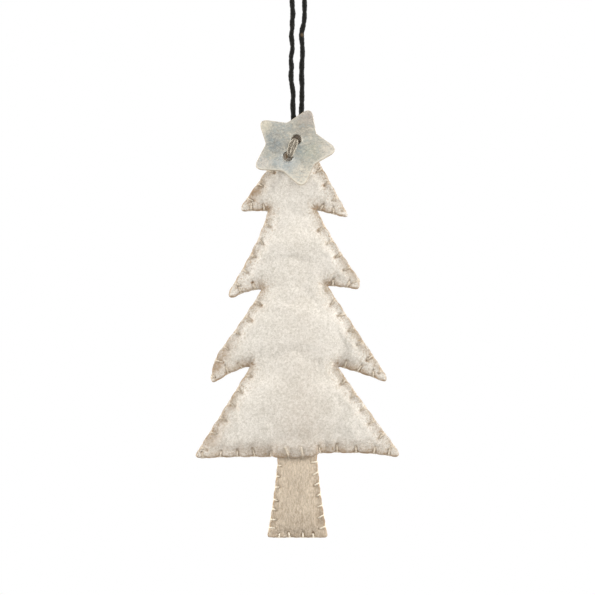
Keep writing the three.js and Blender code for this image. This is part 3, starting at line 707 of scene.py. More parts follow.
def blownUp(outline, spacing, held, slack, seed, c):
    boundary = Outline(outline.points, spacing)
    spots, faces, ring = filled(boundary, (), ((spacing * 0.6, 1e3, spacing),))
    away, _ = outline.nearest(spots)
    onRing = np.zeros(len(spots), bool)
    onRing[ring] = True
    start = c["startLift"] * ramp(away, held, held + c["startFall"])
    start = start * (1 + 0.3 * lumps(spots, 5, seed))
    points, everyFace, backAt = cased(spots, faces, onRing, start, start)
    points = points * c["size"]
    mesh = bpy.data.meshes.new("case")
    mesh.from_pydata(points.tolist(), [], everyFace)
    case = shown(mesh)
    group = case.vertex_groups.new(name="held")
    rim = np.nonzero(away < held)[0]
    group.add(sorted({int(k) for k in np.concatenate([rim, backAt[rim]])}), 1, "ADD")
    cloth = case.modifiers.new("cloth", "CLOTH")
    for key, value in c["cloth"].items():
        setattr(cloth.settings, key, value)
    cloth.settings.shrink_min = -slack
    cloth.settings.vertex_group_mass = "held"
    cloth.settings.effector_weights.gravity = 0
    cloth.collision_settings.use_collision = False
    cloth.point_cache.frame_start, cloth.point_cache.frame_end = 1, c["frames"]
    for number in range(1, c["frames"] + 1):
        bpy.context.scene.frame_set(number)
    moved = np.zeros(len(points) * 3)
    blown = case.evaluated_get(bpy.context.evaluated_depsgraph_get()).to_mesh()
    blown.vertices.foreach_get("co", moved)
    moved = (moved.reshape(-1, 3) - points) / c["size"]
    far = np.linalg.norm(moved, axis=1, keepdims=True)
    moved *= np.minimum(1, c["cap"] / np.maximum(far, 1e-9))
    bpy.data.objects.remove(case)
    bpy.context.scene.frame_set(1)
    high, deep = -moved[:, 1].min(), moved[:, 1].max()
    print("  cloth lifted", round(float(high), 2), round(float(deep), 2))
    flat = BVHTree.FromPolygons([(x, z, 0) for x, z in spots], faces.tolist())
    sides = {}
    for side, index in ((-1, np.arange(len(spots))), (1, backAt)):
        lift = side * (moved[index, 1]) + start
        shift = moved[index][:, [0, 2]]
        sides[side] = netOver(outline, flat, spots, faces, np.column_stack([lift, shift]))
    return sides


# Values at the corners of flat triangles, read onto nets
def netOver(outline, flat, spots, faces, values, cell=0.5):
    low, shape = gridOver(outline, cell, 3)
    result = np.zeros((shape[1], shape[0], values.shape[1]))
    for j in range(shape[1]):
        for i in range(shape[0]):
            x, z = low[0] + i * cell, low[1] + j * cell
            spot, _, k, far = flat.find_nearest((x, z, 0))
            if far > cell:
                continue
            a, b, c = spots[faces[k]]
            spot, area = np.array(spot[:2]), turning(a, b, c)
            u, v = turning(a, spot, c) / area, turning(a, b, spot) / area
            result[j, i] = values[faces[k]].T @ (1 - u - v, u, v)
    return [Net(low, cell, result[..., k]) for k in range(values.shape[1])]


# Stitches: where they are along an outline, and the hole at the inner end of each on both faces

class Stitches:
    def __init__(self, outline, places, reach, lean, seed, loose=()):
        chance = np.random.default_rng(seed)
        self.places = np.array(places, float)
        self.edge, inward = outline.at(self.places)
        along = np.stack([-inward[:, 1], inward[:, 0]], axis=1)
        self.inward, self.count = inward, len(places)
        self.holes, self.firm, self.dark, self.pucker = {}, {}, {}, {}
        for side in (-1, 1):
            long = np.asarray(reach) * chance.uniform(0.86, 1.12, self.count)
            slant = np.asarray(lean) + chance.normal(0, 0.16, self.count)
            ends = self.edge + unit(inward + along * slant[:, None]) * long[:, None]
            away, _ = outline.nearest(ends)
            short = np.minimum(1, (away + 0.5) / (0.8 * long))
            self.holes[side] = self.edge + (ends - self.edge) * np.clip(short, 0.35, 1)[:, None]
            self.firm[side] = chance.uniform(0.6, 1.15, self.count)
            self.dark[side] = chance.uniform(0, 1, self.count) ** 2.2
            self.pucker[side] = chance.uniform(0.3, 1.9, self.count)
            self.firm[side][list(loose)] = 0.25

    # Pressed beside each leg, drawn in round it, a pucker beyond it, a hole, and painted shade
    # in the hole, beside the leg and in the pucker, from 0 to 1
    def marksAt(self, spots, side, wide):
        pinch, drawn, hole, shade = (np.zeros(len(spots)) for _ in range(4))
        for k, (a, b) in enumerate(zip(self.edge, self.holes[side])):
            near = np.nonzero(np.abs(spots - b).max(1) < 7)[0]
            gap, step = spots[near] - a, b - a
            long = np.linalg.norm(step)
            t = gap @ step / long**2
            legAway = np.linalg.norm(gap - np.clip(t, -0.3, 1)[:, None] * step, axis=1)
            lineAway = np.linalg.norm(gap - t[:, None] * step, axis=1)
            beyond = (t - 1) * long
            holeAway = np.linalg.norm(spots[near] - b, axis=1)
            fade = np.clip(1 - beyond / self.pucker[side][k], 0, 1) * (beyond > 0)
            fold = 0.7 * np.exp(-((lineAway / (0.8 * wide)) ** 2)) * fade
            leg = np.exp(-((legAway / wide) ** 2))
            beside = np.exp(-(((legAway - 0.36) / 0.15) ** 2)) * (lineAway > 0.15)
            dot = np.exp(-((holeAway / 0.3) ** 2))
            pinch[near] = np.maximum(pinch[near], self.firm[side][k] * np.maximum(leg, fold))
            broad = np.exp(-((legAway / (2.6 * wide)) ** 2)) * min(1, 1.4 * self.firm[side][k])
            drawn[near] = np.maximum(drawn[near], broad)
            hole[near] = np.maximum(hole[near], dot)
            # Painted shade: dark in the hole, thin lines beside the leg, and in the pucker
            dark = self.dark[side][k]
            tone = dot * (0.08 + 0.8 * dark) + beside * (0.1 + 0.5 * dark) + 0.35 * fold
            shade[near] = np.maximum(shade[near], tone)
        return pinch, drawn, hole, shade

    # Spots beside and along each leg, where the net of a sheet is closer
    def closeSpots(self, side):
        spots = []
        for a, b in zip(self.edge, self.holes[side]):
            step = unit(b - a)
            across = np.array([-step[1], step[0]])
            reach = np.arange(0.5, np.linalg.norm(b - a) + 1.2, 0.24)
            for aside in (-0.62, -0.38, -0.18, 0, 0.18, 0.38, 0.62):
                spots.append(a + step * reach[:, None] + across * aside)
        return np.vstack(spots)


# A sheet of felt over a filling. lift gives its inner face, and everything else is pressed in
# by the stitches or rounded at the cut edge. Each fold is a crease or soft mark: two ends,
# width, painted shade and depth.
class Felt:
    def __init__(self, outline, stitches, side, lift, shift, c, foldsAndShade=(), notches=()):
        self.outline, self.stitches, self.side, self.c = outline, stitches, side, c
        self.notches = notches
        self.lift, self.shift, self.foldsAndShade = lift, shift, foldsAndShade
        half = outline.total / 2
        gap = (outline.along[:, None] - stitches.places[None] + half) % outline.total - half
        gap = np.abs(gap).min(1)
        drawn = c["notch"] * np.exp(-((gap / c["notchWide"]) ** 2))
        drawn = (drawn - c["bulge"] * ramp(gap, 0.6, 2)) * (1 - outline.tips(1.5))
        ragged = lumps(np.stack([outline.along, 0 * outline.along], 1), 0.9, c["seed"] + side)
        inset = c["inset"] + drawn + 0.05 * ragged
        self.boundary = Outline(outline.points + outline.inward * inset[:, None], 0.3)
        self.drawn = self.boundary.at(self.boundary.nearest(stitches.edge)[1])[0]
        self.tips = outline.points[outline.tips(1.5) > 0.6]

    def at(self, spots, inner=False):
        c, side = self.c, self.side
        away, along = self.boundary.nearest(spots)
        pinch, drawn, hole, shade = self.stitches.marksAt(spots, side, c["legWide"])
        puffed = c["puff"] * (1 - drawn) * ramp(away, 0.1, 1.5) * (1 - ramp(away, 2, 4.5))
        lift = self.lift(spots) * (1 - c["dip"] * drawn) + puffed
        shift = np.stack([s.at(spots) for s in self.shift], axis=1) * ramp(away, 1.5, 5)[:, None]
        crease = np.zeros(len(spots))
        # Each fold darkens the felt with painted shade and presses a crease as deep as its depth
        for a, b, wide, dark, deep in self.foldsAndShade:
            step = b - a
            t = (spots - a) @ step / (step @ step)
            far = np.linalg.norm(spots - a - np.clip(t, 0, 1)[:, None] * step, axis=1)
            mark = np.exp(-((far / wide) ** 2)) * np.clip(1 - t, 0.15, 1)
            crease = np.maximum(crease, mark * deep)
            shade = np.maximum(shade, mark * dark)
        out = lift
        if not inner:
            t = np.clip(1 - away / c["round"], 0, 1)
            rounded = c["round"] * (1 - np.sqrt(1 - t * t)) * 0.9
            fine = 0.05 * lumps(spots, 1.3, 7 + side) + 0.1 * lumps(spots, 4.5, 17 + side)
            thick = c["thick"] * (1 - c["squeeze"] * pinch)
            out = lift + thick - rounded - c["groove"] * pinch - c["holeDeep"] * hole
            out = out + fine - crease
        # Painted shade, brown, under the tiers, where the edge faces down
        under = ramp(self.boundary.at(along)[1][:, 1], 0.35, 0.85)
        low = 0.9 * np.exp(-((away / 0.45) ** 2)) + 0.12 * np.exp(-((away / 2.6) ** 2))
        shade = np.maximum(shade, c["under"] * under * low)
        y = side * (c["gap"] + np.maximum(out, 0))
        points = np.stack([spots[:, 0] + shift[:, 0], y, spots[:, 1] + shift[:, 1]], axis=1)
        return points, away, shade

    def piece(self, name, paint):
        c, side = self.c, self.side
        close = [self.stitches.closeSpots(side)]
        steps = np.arange(-3.2, 3.21, 0.22)
        grid = np.stack(np.meshgrid(steps, steps), axis=-1).reshape(-1, 2)
        grid = grid[np.hypot(*grid.T) < 3.2]
        for x, z, _ in self.notches:
            away = np.abs((grid + (x, z))[:, None] - close[0][None]).max(2).min(1)
            close.append((grid + (x, z))[away > 0.16])
        close = np.vstack(close)
        outerSpots, outerFaces, outerRing = filled(self.boundary, c["rows"], c["bands"], close)
        innerSpots, innerFaces, innerRing = filled(self.boundary, (), ((0.8, 1e3, 1.4),))
        outer, away, shade = self.at(outerSpots)
        inner, *_ = self.at(innerSpots, True)
        count, front = len(self.boundary.points), side < 0
        push = np.zeros((count, 3))
        push[:, [0, 2]] = -self.boundary.inward
        rimRows = []
        for t in c["rimAt"]:
            out = push * (c["rimOut"] * math.sin(math.pi * t))
            rimRows.append(outer[outerRing] * (1 - t) + inner[innerRing] * t + out)
        points = np.vstack([outer, inner, *rimRows])
        before = len(outer) + len(inner)
        rows = (before + np.arange(len(rimRows) * count).reshape(-1, count)).tolist()
        rows = [outerRing, *rows, (len(outer) + np.array(innerRing)).tolist()]
        # Seen from the front, the front sheet's outer faces run one way and the back's the other
        turned = innerFaces + len(outer)
        faces = (outerFaces if front else outerFaces[:, ::-1]).tolist()
        faces += (turned[:, ::-1] if front else turned).tolist()
        faces += bands(rows, not front)
        edge = np.zeros(count * len(rimRows))
        wall = np.repeat([0.8, 0.3, 0.3], count)
        fromTip = np.min([np.hypot(*(outerSpots - tip).T) for tip in self.tips], axis=0)
        clean = 1.5 * np.exp(-((fromTip / 2.8) ** 2))
        marks = {
            "rim": np.concatenate([away + clean, np.full(len(inner), 3.0), edge + 1.2]),
            "cut": np.concatenate([np.exp(-((away / 0.2) ** 2)), np.zeros(len(inner)), wall]),
            "shade": np.concatenate([np.clip(shade, 0, 1), np.zeros(len(inner)), edge + 0.1]),
        }
        return pieceFrom(name, points, faces, paint, marks)


def feltPair(outline, stitches, inners, lifts, c, foldsAndShade, notches=()):
    return {
        side: Felt(outline, stitches, side, inners[side], lifts[side][1], c, foldsAndShade[side], notches)
        for side in (-1, 1)
    }


# Thread along a row of stitches: legs over both faces, and a line along the edge between them

def legLine(felts, stitches, k, c):
    line = []
    for side in (-1, 1):
        felt = felts[side]
        hole, edge = stitches.holes[side][k], felt.drawn[k]
        spots = hole + (edge - hole) * np.linspace(0, 0.93, 6)[:, None]
        points, *_ = felt.at(spots)
        points[:, 1] += side * c["radius"] * (c["proud"] + np.array([-2.2, -0.4, 0, 0.1, 0.1, 0]))
        rim = points[-1:].copy()
        rim[:, [0, 2]] = edge - stitches.inward[k] * c["radius"] * c["over"]
        rim[:, 1] *= 0.62
        line.append(np.vstack([points, rim])[:: -side])
    return np.vstack(line)


def edgeLine(felt, stitches, run, c):
    outline = felt.boundary
    line = []
    for k, n in zip(run, run[1:]):
        a, b = stitches.places[k], stitches.places[n]
        b = b + felt.outline.total if b < a else b
        places = np.linspace(a, b, max(4, round((b - a) / 0.5)), endpoint=n == run[-1])
        spots, _ = felt.outline.at(places)
        _, along = outline.nearest(spots)
        onEdge, into = outline.at(along)
        gap = np.minimum(places - a, b - places)
        sunk = -c["radius"] * 0.75 + c["sink"] * ramp(gap, 0.2, 1.0)
        spots = onEdge + into * sunk[:, None]
        line.append(np.stack([spots[:, 0], 0.08 * np.sin(places * 3), spots[:, 1]], axis=1))
    return np.vstack(line)


def stitchParts(felts, stitches, run, c):
    lines = [lineThrough(legLine(felts, stitches, k, c), c["ring"]) for k in run]
    parts = [twisted(line, c["radius"], c["pitch"], k) for line, k in zip(lines, run)]
    line = evenly(edgeLine(felts[-1], stitches, run, c), c["ring"])
    return [*parts, twisted(line, c["radius"], c["pitch"])]


# Tree

treeSettings = {
    "width": 56.8,
    "height": 91.8,
    "top": -47.6,
    "outline": [
        (0.266, 0.128, 0.483, 0.253), (0.508, 0.268, 0.454, 0.266), (0.325, 0.255, 0.186, 0.245),
        (0.362, 0.352, 0.602, 0.454), (0.626, 0.488, 0.567, 0.486), (0.424, 0.477, 0.291, 0.476),
        (0.568, 0.607, 0.861, 0.744), (0.902, 0.774, 0.823, 0.765), (0.611, 0.739, 0.39, 0.721),
        (0.674, 0.849, 0.977, 0.973), (1.026, 1, 0.937, 0.997), (0.8, 0.988, 0.6, 0.985),
        (0.4, 0.984, 0.235, 0.9855), (0.2, 0.989, 0.15, 0.9965), (0, 1.0005, -0.2, 0.9985),
        (-0.5, 0.9945, -0.937, 1.0005), (-1.05, 1.003, -0.986, 0.977),
        (-0.722, 0.849, -0.47, 0.721), (-0.651, 0.733, -0.799, 0.766),
        (-0.878, 0.78, -0.848, 0.741), (-0.838, 0.706, -0.774, 0.675),
        (-0.545, 0.581, -0.355, 0.486), (-0.513, 0.489, -0.621, 0.51),
        (-0.705, 0.518, -0.676, 0.489), (-0.382, 0.345, -0.297, 0.248),
        (-0.409, 0.246, -0.513, 0.249), (-0.587, 0.25, -0.552, 0.229),
        (-0.293, 0.116, -0.035, 0.005), (0, -0.008, 0.035, 0.005),
    ],
    "stitchesAt": [
        2.6, 7.2, 11.7, 16.3, 20.9, 24.8, 31.2, 35.1, 40.9, 45.4, 49.9, 54.4, 58.9, 64.7, 68.6,
        74.4, 79.2, 83.9, 88.8, 93.3, 97.9, 105.6, 110.2, 114.1, 120.1, 124.6, 129.4, 134.1,
        138.6, 142.8, 149.2, 153.4, 158.3, 163.6, 168.2, 173.3, 177.4, 182.3, 186.9, 191.7,
        196.5, 201.2, 206.6, 211.5, 216.5, 221.4, 225.9, 230.4, 235.1, 239.3, 246.2, 250.9,
        255.7, 260.8, 265.9, 270.7, 276.6, 280.6, 288.6, 293.1, 297.8, 302.6, 307.4, 311.8,
        315.4, 322.3, 327.4, 332.0, 336.4, 340.4,
    ],
    "overTrunk": (35, 36), "filling": (2.3, 0.55),
    "crown": 5.7, "pressed": 4.35, "pressedSoft": 1.2, "seam": 1.8, "reach": 7.6, "fullness": 0.9,
    "clothShare": 0.4, "slack": 0.05, "spacing": 1.15, "seed": 5,
    # Mounds over what lies inside: the middle, half its size, how high and how wide its slope
    "mounds": {
        -1: [((-0.3, -52.55), (0.9, 3.15), 1.38, 2)], 1: [((-0.3, -51.5), (0.9, 4.2), 0.72, 2)],
        "both": [((-0.3, -57.1), (0.8, 0.8), 1.3, 3), ((-0.9, -60.3), (1.2, 1.2), 2.5, 4.5)],
        "pocket": ((-0.25, -139), (5.6, 4.2), 1.28, 2.6), "pocketFlat": 2.8,
    },
}
treeFeltSettings = {
    "gap": 0.04, "thick": 1.22, "squeeze": 0.18, "groove": 0.12, "dip": 0.2, "legWide": 0.4,
    "holeDeep": 0.16, "notch": 0.35, "notchWide": 0.7, "bulge": 0.11, "round": 0.55, "seed": 3,
    "puff": 0.16, "under": 0.75, "inset": 0.12, "rimOut": 0.09,
    "rows": (0.08, 0.2, 0.4, 0.68), "rimAt": (0.2, 0.5, 0.8),
    "bands": ((0.95, 3.4, 0.36), (3.4, 1e3, 0.62)),
}
treeThreadSettings = {
    "radius": 0.26, "pitch": 1.2, "ring": 0.22, "sink": 0.42, "proud": 0.4, "over": 0.1,
}
treeStitchSettings = {"reach": 2.3, "lean": 0, "seed": 11}
# Notches: where they are, the direction into the felt in degrees, and how many creases fan
# out, each with painted shade in it
notchSettings = {
    "places": [
        (5.45, -70.1, 110), (8.26, -91.3, 110), (11.1, -113.8, 108), (-13.6, -113.8, 75),
        (-10.2, -92.2, 72), (-8.7, -70.4, 72),
    ],
    "creases": 7, "spread": 110, "long": (1.0, 2.8), "wide": 0.24, "seed": 4,
    # The hollow beside the notch, under the tip of the tier: how far it reaches, its width and
    # its painted shade
    "hollow": 3.4, "hollowWide": 1.1, "hollowDark": 0.32,
}
# Two stitches catch the trunk on each side. Each starts in a hole and ends below the hem.
overTrunkSettings = {
    "legs": [((0.9, -136.2), (1.45, -139.5)), ((-3.65, -136.0), (-2.1, -140.5))],
    "trunkY": 1.3, "proud": [-1.6, 0.2, 0.6, 0.6, 0.6, 0.5, -1.2],
}


def outlineFrom(c):
    half, t = c["width"] / 2, np.linspace(0, 1, 31)[1:]
    corners = [
        [np.array([x * half, c["top"] - z * c["height"]]) for x, z in (row[:2], row[2:])]
        for row in c["outline"]
    ]
    points = [corners[-1][1]]
    for control, end in corners:
        points += curve(points[-1], control, end, t)
    return Outline(np.array(points[:-1]))

# Soft dents and painted shade: two ends, width, painted shade and depth. Those of depth 0 are
# painted shade alone: darker down the middle and along the low band of the tiers, and on the
# felt behind the button's holes.
treeDentsAndShade = {
    -1: [
        ((1, -135.5), (0.5, -98), 7.5, 0.25, 0), ((0.5, -112), (0.3, -60), 6, 0.09, 0),
        ((-4, -136.9), (-45, -138), 2.8, 0.34, 0), ((4, -136.9), (45, -138), 2.8, 0.34, 0),
        ((-13.2, -66.4), (-8.6, -60.2), 1.9, 0.98, 0.1),
        ((-24.4, -134.6), (-19.6, -125.4), 2.2, 0.58, 0.1),
        ((-23.2, -113.6), (-17.6, -105.5), 2.4, 0.74, 0.08),
        ((-15.5, -137.3), (-5.8, -137.5), 1.1, 0.3, 0.05),
        ((16.4, -88.6), (11.2, -80.5), 2.0, 0.42, 0.05),
        ((-19.8, -123.5), (-15.8, -117.5), 1.5, 0.26, 0.05),
        ((7.0, -136.0), (14.5, -136.6), 1.2, 0.24, 0.05),
        ((12.5, -67.2), (8.0, -69.4), 0.8, 0.25, 0.1),
        ((-16.5, -92.2), (-12.5, -90.4), 1.1, 0.24, 0.1),
        ((22.5, -131.5), (24.6, -135.8), 1.3, 0.16, 0.05),
        ((15.0, -113.2), (19.6, -114.8), 1.0, 0.2, 0.05),
        ((-2.9, -55.2), (-2.7, -55.4), 0.9, 1.6, 0), ((-0.5, -50.5), (-0.4, -50.7), 0.9, 1.2, 0),
    ],
    1: [
        ((-1.3, -50.6), (-1.35, -50.2), 0.5, 0.5, 0.3),
        ((-2.0, -56.1), (-2.05, -56.5), 0.5, 0.5, 0.3),
    ],
}


def directed(degrees):
    return np.array([math.cos(math.radians(degrees)), math.sin(math.radians(degrees))])


def creased(foldsAndShade):
    return [(np.array(a), np.array(b), *rest) for a, b, *rest in foldsAndShade]


def notchFolds(c, side):
    chance = np.random.default_rng(c["seed"] + side)
    foldsAndShade = creased(treeDentsAndShade[side])
    # Creases fan out from each notch with painted shade, and painted shade lies in the hollow
    # beside it
    for x, z, into in c["places"]:
        for k in range(c["creases"]):
            spread = (k / (c["creases"] - 1) - 0.5) * c["spread"] + chance.normal(0, 5)
            ahead = directed(into + spread)
            start = np.array([x, z]) + ahead * chance.uniform(0.1, 1.2)
            long = chance.uniform(*c["long"])
            wide = c["wide"] * chance.uniform(0.7, 1.2)
            foldsAndShade.append((start, start + ahead * long, wide, chance.uniform(0.45, 1.2), 0.3))
        ahead = directed(55 if into > 90 else 125)
        start = np.array([x, z]) + 0.4 * ahead
        foldsAndShade.append((start, start + ahead * c["hollow"], c["hollowWide"], c["hollowDark"], 0.3))
    return foldsAndShade


def mound(spots, middle, half, height, fall):
    gap = np.maximum(np.abs(spots - np.array(middle)) - np.array(half), 0)
    return height * (1 - ramp(np.hypot(gap[:, 0], gap[:, 1]), 0, fall))


# How high the filling lifts each side, and how far its cloth is drawn along x and z
def stuffedLift(outline, c):
    swell = evenSwell(outline, c["seam"], c["reach"])
    even = Net(swell.low, swell.cell, c["crown"] * swell.values ** c["fullness"])
    sides, share = {}, c["clothShare"]
    held = c["seam"] * 0.85
    blown = blownUp(outline, c["spacing"], held, c["slack"], c["seed"], clothSettings)
    for side, (lift, *shift) in blown.items():
        scale = c["crown"] / max(lift.values.max(), 1e-6)
        both = lambda spots, lift=lift, scale=scale: (
            share * scale * lift.at(spots) + (1 - share) * even.at(spots)
        )
        sides[side] = (both, shift)
    return sides


treeOutline = outlineFrom(treeSettings)
treeStitches = Stitches(
    treeOutline, treeSettings["stitchesAt"], **treeStitchSettings, loose=treeSettings["overTrunk"]
)
treeLifts = stuffedLift(treeOutline, treeSettings)
print("tree blown up")


# The sheet's inner face: pressed flat in the middle, and over the tails, the knot and the trunk
def treeInner(side, c=treeSettings):
    def inner(spots):
        over = treeLifts[side][0](spots)
        over = c["pressed"] - smoothMost(c["pressed"] - over, 0, c["pressedSoft"]) + 0.06
        mounds = [mound(spots, *one) for one in c["mounds"][side] + c["mounds"]["both"]]
        pocket = mound(spots, *c["mounds"]["pocket"])
        over = over + pocket * (1 - ramp(over, 0, c["mounds"]["pocketFlat"]))
        return smoothMost(over, np.maximum.reduce(mounds), 0.15)

    return inner


treeInners = {side: treeInner(side) for side in (-1, 1)}
treeFoldsAndShade = {side: notchFolds(notchSettings, side) for side in (-1, 1)}
treeFelts = feltPair(
    treeOutline, treeStitches, treeInners, treeLifts, treeFeltSettings, treeFoldsAndShade,
    notchSettings["places"],
)


def overTrunk(c, thread):
    parts = []
    for side in (-1, 1):
        for hole, end in np.array(c["legs"]):
            spots = hole + (end - hole) * np.linspace(0, 1, len(c["proud"]))[:, None]
            points, *_ = treeFelts[side].at(spots)
            points[~treeFelts[side].boundary.holds(spots), 1] = side * c["trunkY"]
            points[:, 1] += side * thread["radius"] * np.array(c["proud"])
            line = lineThrough(points, thread["ring"])
            parts.append(twisted(line, thread["radius"], thread["pitch"]))
    return parts


# The front and back sheet of the tree or the trunk. They ride on a body, or are fixed in place on
# none.
def makeFelts(name, felts, body=None, bend=None):
    for side, face in ((-1, "Front"), (1, "Back")):
        piece = felts[side].piece(f"{name}{face}Felt", f"{name}Felt")
        given(piece, [f"{name}_{face.lower()}_felt"], body)
        if bend:
            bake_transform(piece)


def makeTree(c):
    makeFelts("tree", treeFelts, "tree")
    total, (first, last) = len(c["stitchesAt"]), c["overTrunk"]
    for name, run in (("Right", range(first)), ("Left", range(last + 1, total))):
        parts = stitchParts(treeFelts, treeStitches, list(run), treeThreadSettings)
        if name == "Left":
            parts += overTrunk(overTrunkSettings, treeThreadSettings)
        piece = pieceFrom(f"treeEdgeStitch{name}", *joined(parts), "treeThread")
        given(piece, [f"tree_edge_stitch_{name.lower()}"], "tree")


makeTree(treeSettings)
print("tree felts and stitches made")


# Filling: what the sheets are blown up by, closed along the seam

def makeFilling(body, outline, inner, inset, fill):
    seam = Outline(outline.points, 0.9)
    spots, faces, _ = filled(seam, (), ((0.6, 1e3, 1.1),))
    away, _ = outline.nearest(spots)
    kept = faces[(away[faces] > inset).all(1)]
    used, kept = np.unique(kept, return_inverse=True)
    kept = kept.reshape(-1, 3)
    spots = spots[used]
    edges = np.sort(np.concatenate([kept[:, [0, 1]], kept[:, [1, 2]], kept[:, [2, 0]]]), axis=1)
    pairs, uses = np.unique(edges, axis=0, return_counts=True)
    onRim = np.zeros(len(spots), bool)
    onRim[np.unique(pairs[uses == 1])] = True
    lifts = [np.where(onRim, 0, np.maximum(inner[side](spots) - 0.15, 0.05)) for side in (-1, 1)]
    points, everyFace, _ = cased(spots, kept, onRim, *lifts)
    piece = pieceFrom(f"{body}Stuffing", points, everyFace, "filling")
    given(piece, [f"{body}_stuffing"], body)


makeFilling("tree", treeOutline, treeInners, *treeSettings["filling"])
print("tree filling made")


# Trunk

trunkSettings = {
    "topWidth": 11.0, "baseWidth": 16.9, "drop": 22.8, "tuck": 3.2, "aside": -0.17,
    "seamZ": -138.94, "waist": 0.5, "bow": 0.28, "corner": 0.9,
    "crown": 1.6, "seam": 1.4, "reach": 3.2, "fullness": 0.8, "clothShare": 0.4, "slack": 0.05,
    "spacing": 0.7, "seed": 8, "filling": (1.7, 0.4),
    "bend": (-0.1372, -0.1407), "flat": (0.0168, 0.0258), "area": 0.00034,
    # Where the stitches were measured, in pixels, and what turns them into millimetres
    "pixel": 0.28, "pixelMiddle": 298, "pixelTop": -40,
    "stitches": [
        (317, 461.5), (317.5, 472), (319, 483), (320.5, 494), (322, 505), (324, 515), (326, 526),
        (313.5, 537), (303, 537.5), (290, 537.5), (279, 537), (268.5, 527), (270.5, 519),
        (272, 508.5), (273.5, 499), (275.5, 487), (276.5, 476), (277, 465),
    ],
}
trunkFeltSettings = {
    "gap": 0.04, "thick": 1.15, "squeeze": 0.1, "groove": 0.05, "dip": 0.15, "legWide": 0.36,
    "holeDeep": 0.2, "notch": 0.2, "notchWide": 0.6, "bulge": 0.12, "round": 0.45, "seed": 9,
    "puff": 0.12, "under": 0.2, "inset": 0.14, "rimOut": 0.09,
    "rows": (0.08, 0.2, 0.4, 0.65), "rimAt": (0.2, 0.5, 0.8),
    "bands": ((0.9, 2.6, 0.34), (2.6, 1e3, 0.5)),
}
trunkThreadSettings = {
    "radius": 0.22, "pitch": 0.95, "ring": 0.2, "sink": 0.28, "proud": 0.75, "over": 0.4,
}


def trunkOutline(c):
    top, base = c["seamZ"] + c["tuck"], c["seamZ"] - c["drop"]
    narrow, wide = c["topWidth"] / 2, c["baseWidth"] / 2
    bow = [narrow + c["bow"] * (wide - narrow), c["seamZ"] - c["waist"] * c["drop"]]
    corner, t = np.array([wide, base + c["corner"]]), np.linspace(0, 1, 40)
    right = [np.array([narrow, top])]
    right += curve(np.array([narrow, c["seamZ"]]), np.array(bow), corner, t)
    right += curve(corner, np.array([wide, base]), np.array([wide - c["corner"], base]), t)
    points = right + [np.array([-x, z]) for x, z in reversed(right)]
    return Outline(np.array(points) + np.array([c["aside"], 0]), 0.25)


def trunkStitchPlaces(c):
    places = [
        ((x - c["pixelMiddle"]) * c["pixel"], -(y - c["pixelTop"]) * c["pixel"])
        for x, y in c["stitches"]
    ]
    return trunkLine.nearest(np.array(places))[1]


trunkLine = trunkOutline(trunkSettings)


trunkStitches = Stitches(
    trunkLine,
    trunkStitchPlaces(trunkSettings),
    [1.7, 1.9, 1.6, 1.5, 1.5, 1.8, 2.1, 1.5, 1.5, 1.6, 1.4, 1.9, 1.7, 1.4, 1.3, 1.3, 1.1, 1.4],
    [0.2, 0.18, 0.2, 0.28, 0.32, 0.28, 0.2] + [0] * 11,
    21,
)
trunkLifts = stuffedLift(trunkLine, trunkSettings)
print("trunk blown up")


# Flat where the trunk is tucked into the tree
def trunkInner(side, seam=trunkSettings["seamZ"]):
    lift = trunkLifts[side][0]
    return lambda spots: lift(spots) * ramp(spots[:, 1], seam + 0.5, seam - 4)


trunkInners = {side: trunkInner(side) for side in (-1, 1)}
# Shallow dents above the base and near the corners, with painted shade in them, and soft
# painted shade: darker low in the middle, down the right side and just below the hem
trunkDentsAndShade = creased(
    (
        ((-0.6, -160.2), (-1.6, -158.0), 0.8, 0.42, 0.2),
        ((1.2, -159.2), (2.6, -157.2), 1.5, 0.2, 0.1),
        ((-6.6, -160.2), (-5.6, -159.0), 1.0, 0.45, 0.15),
        ((-6.9, -157.7), (-6.0, -156.2), 0.8, 0.45, 0.2),
        ((4.2, -160.0), (3.6, -158.6), 0.9, 0.38, 0.15),
        ((5.5, -157.0), (5.3, -153.8), 0.8, 0.36, 0.2),
        ((5.0, -152.5), (4.6, -147.5), 1.3, 0.2, 0.1),
        ((5.1, -140.6), (4.0, -141.6), 0.6, 0.3, 0.1),
        ((-0.3, -160.6), (-0.3, -149), 6, 0.28, 0), ((6.6, -158), (5.0, -125), 2.4, 0.34, 0),
        ((-0.2, -141), (-0.2, -147), 3.6, 0.14, 0),
    )
)
trunkFelts = feltPair(
    trunkLine, trunkStitches, trunkInners, trunkLifts, trunkFeltSettings,
    {-1: trunkDentsAndShade, 1: trunkDentsAndShade},
)


def makeTrunk(c):
    bend = ["tree", "trunk", *((0, 0, z) for z in c["bend"])]
    makeFelts("trunk", trunkFelts, bend=bend)
    run = list(range(trunkStitches.count))
    made = joined(stitchParts(trunkFelts, trunkStitches, run, trunkThreadSettings))
    piece = pieceFrom("trunkEdgeStitch", *made, "trunkThread")
    given(piece, ["trunk_edge_stitch"], "trunk")


makeTrunk(trunkSettings)
makeFilling("trunk", trunkLine, trunkInners, *trunkSettings["filling"])
print("trunk made")


# Star button of shell

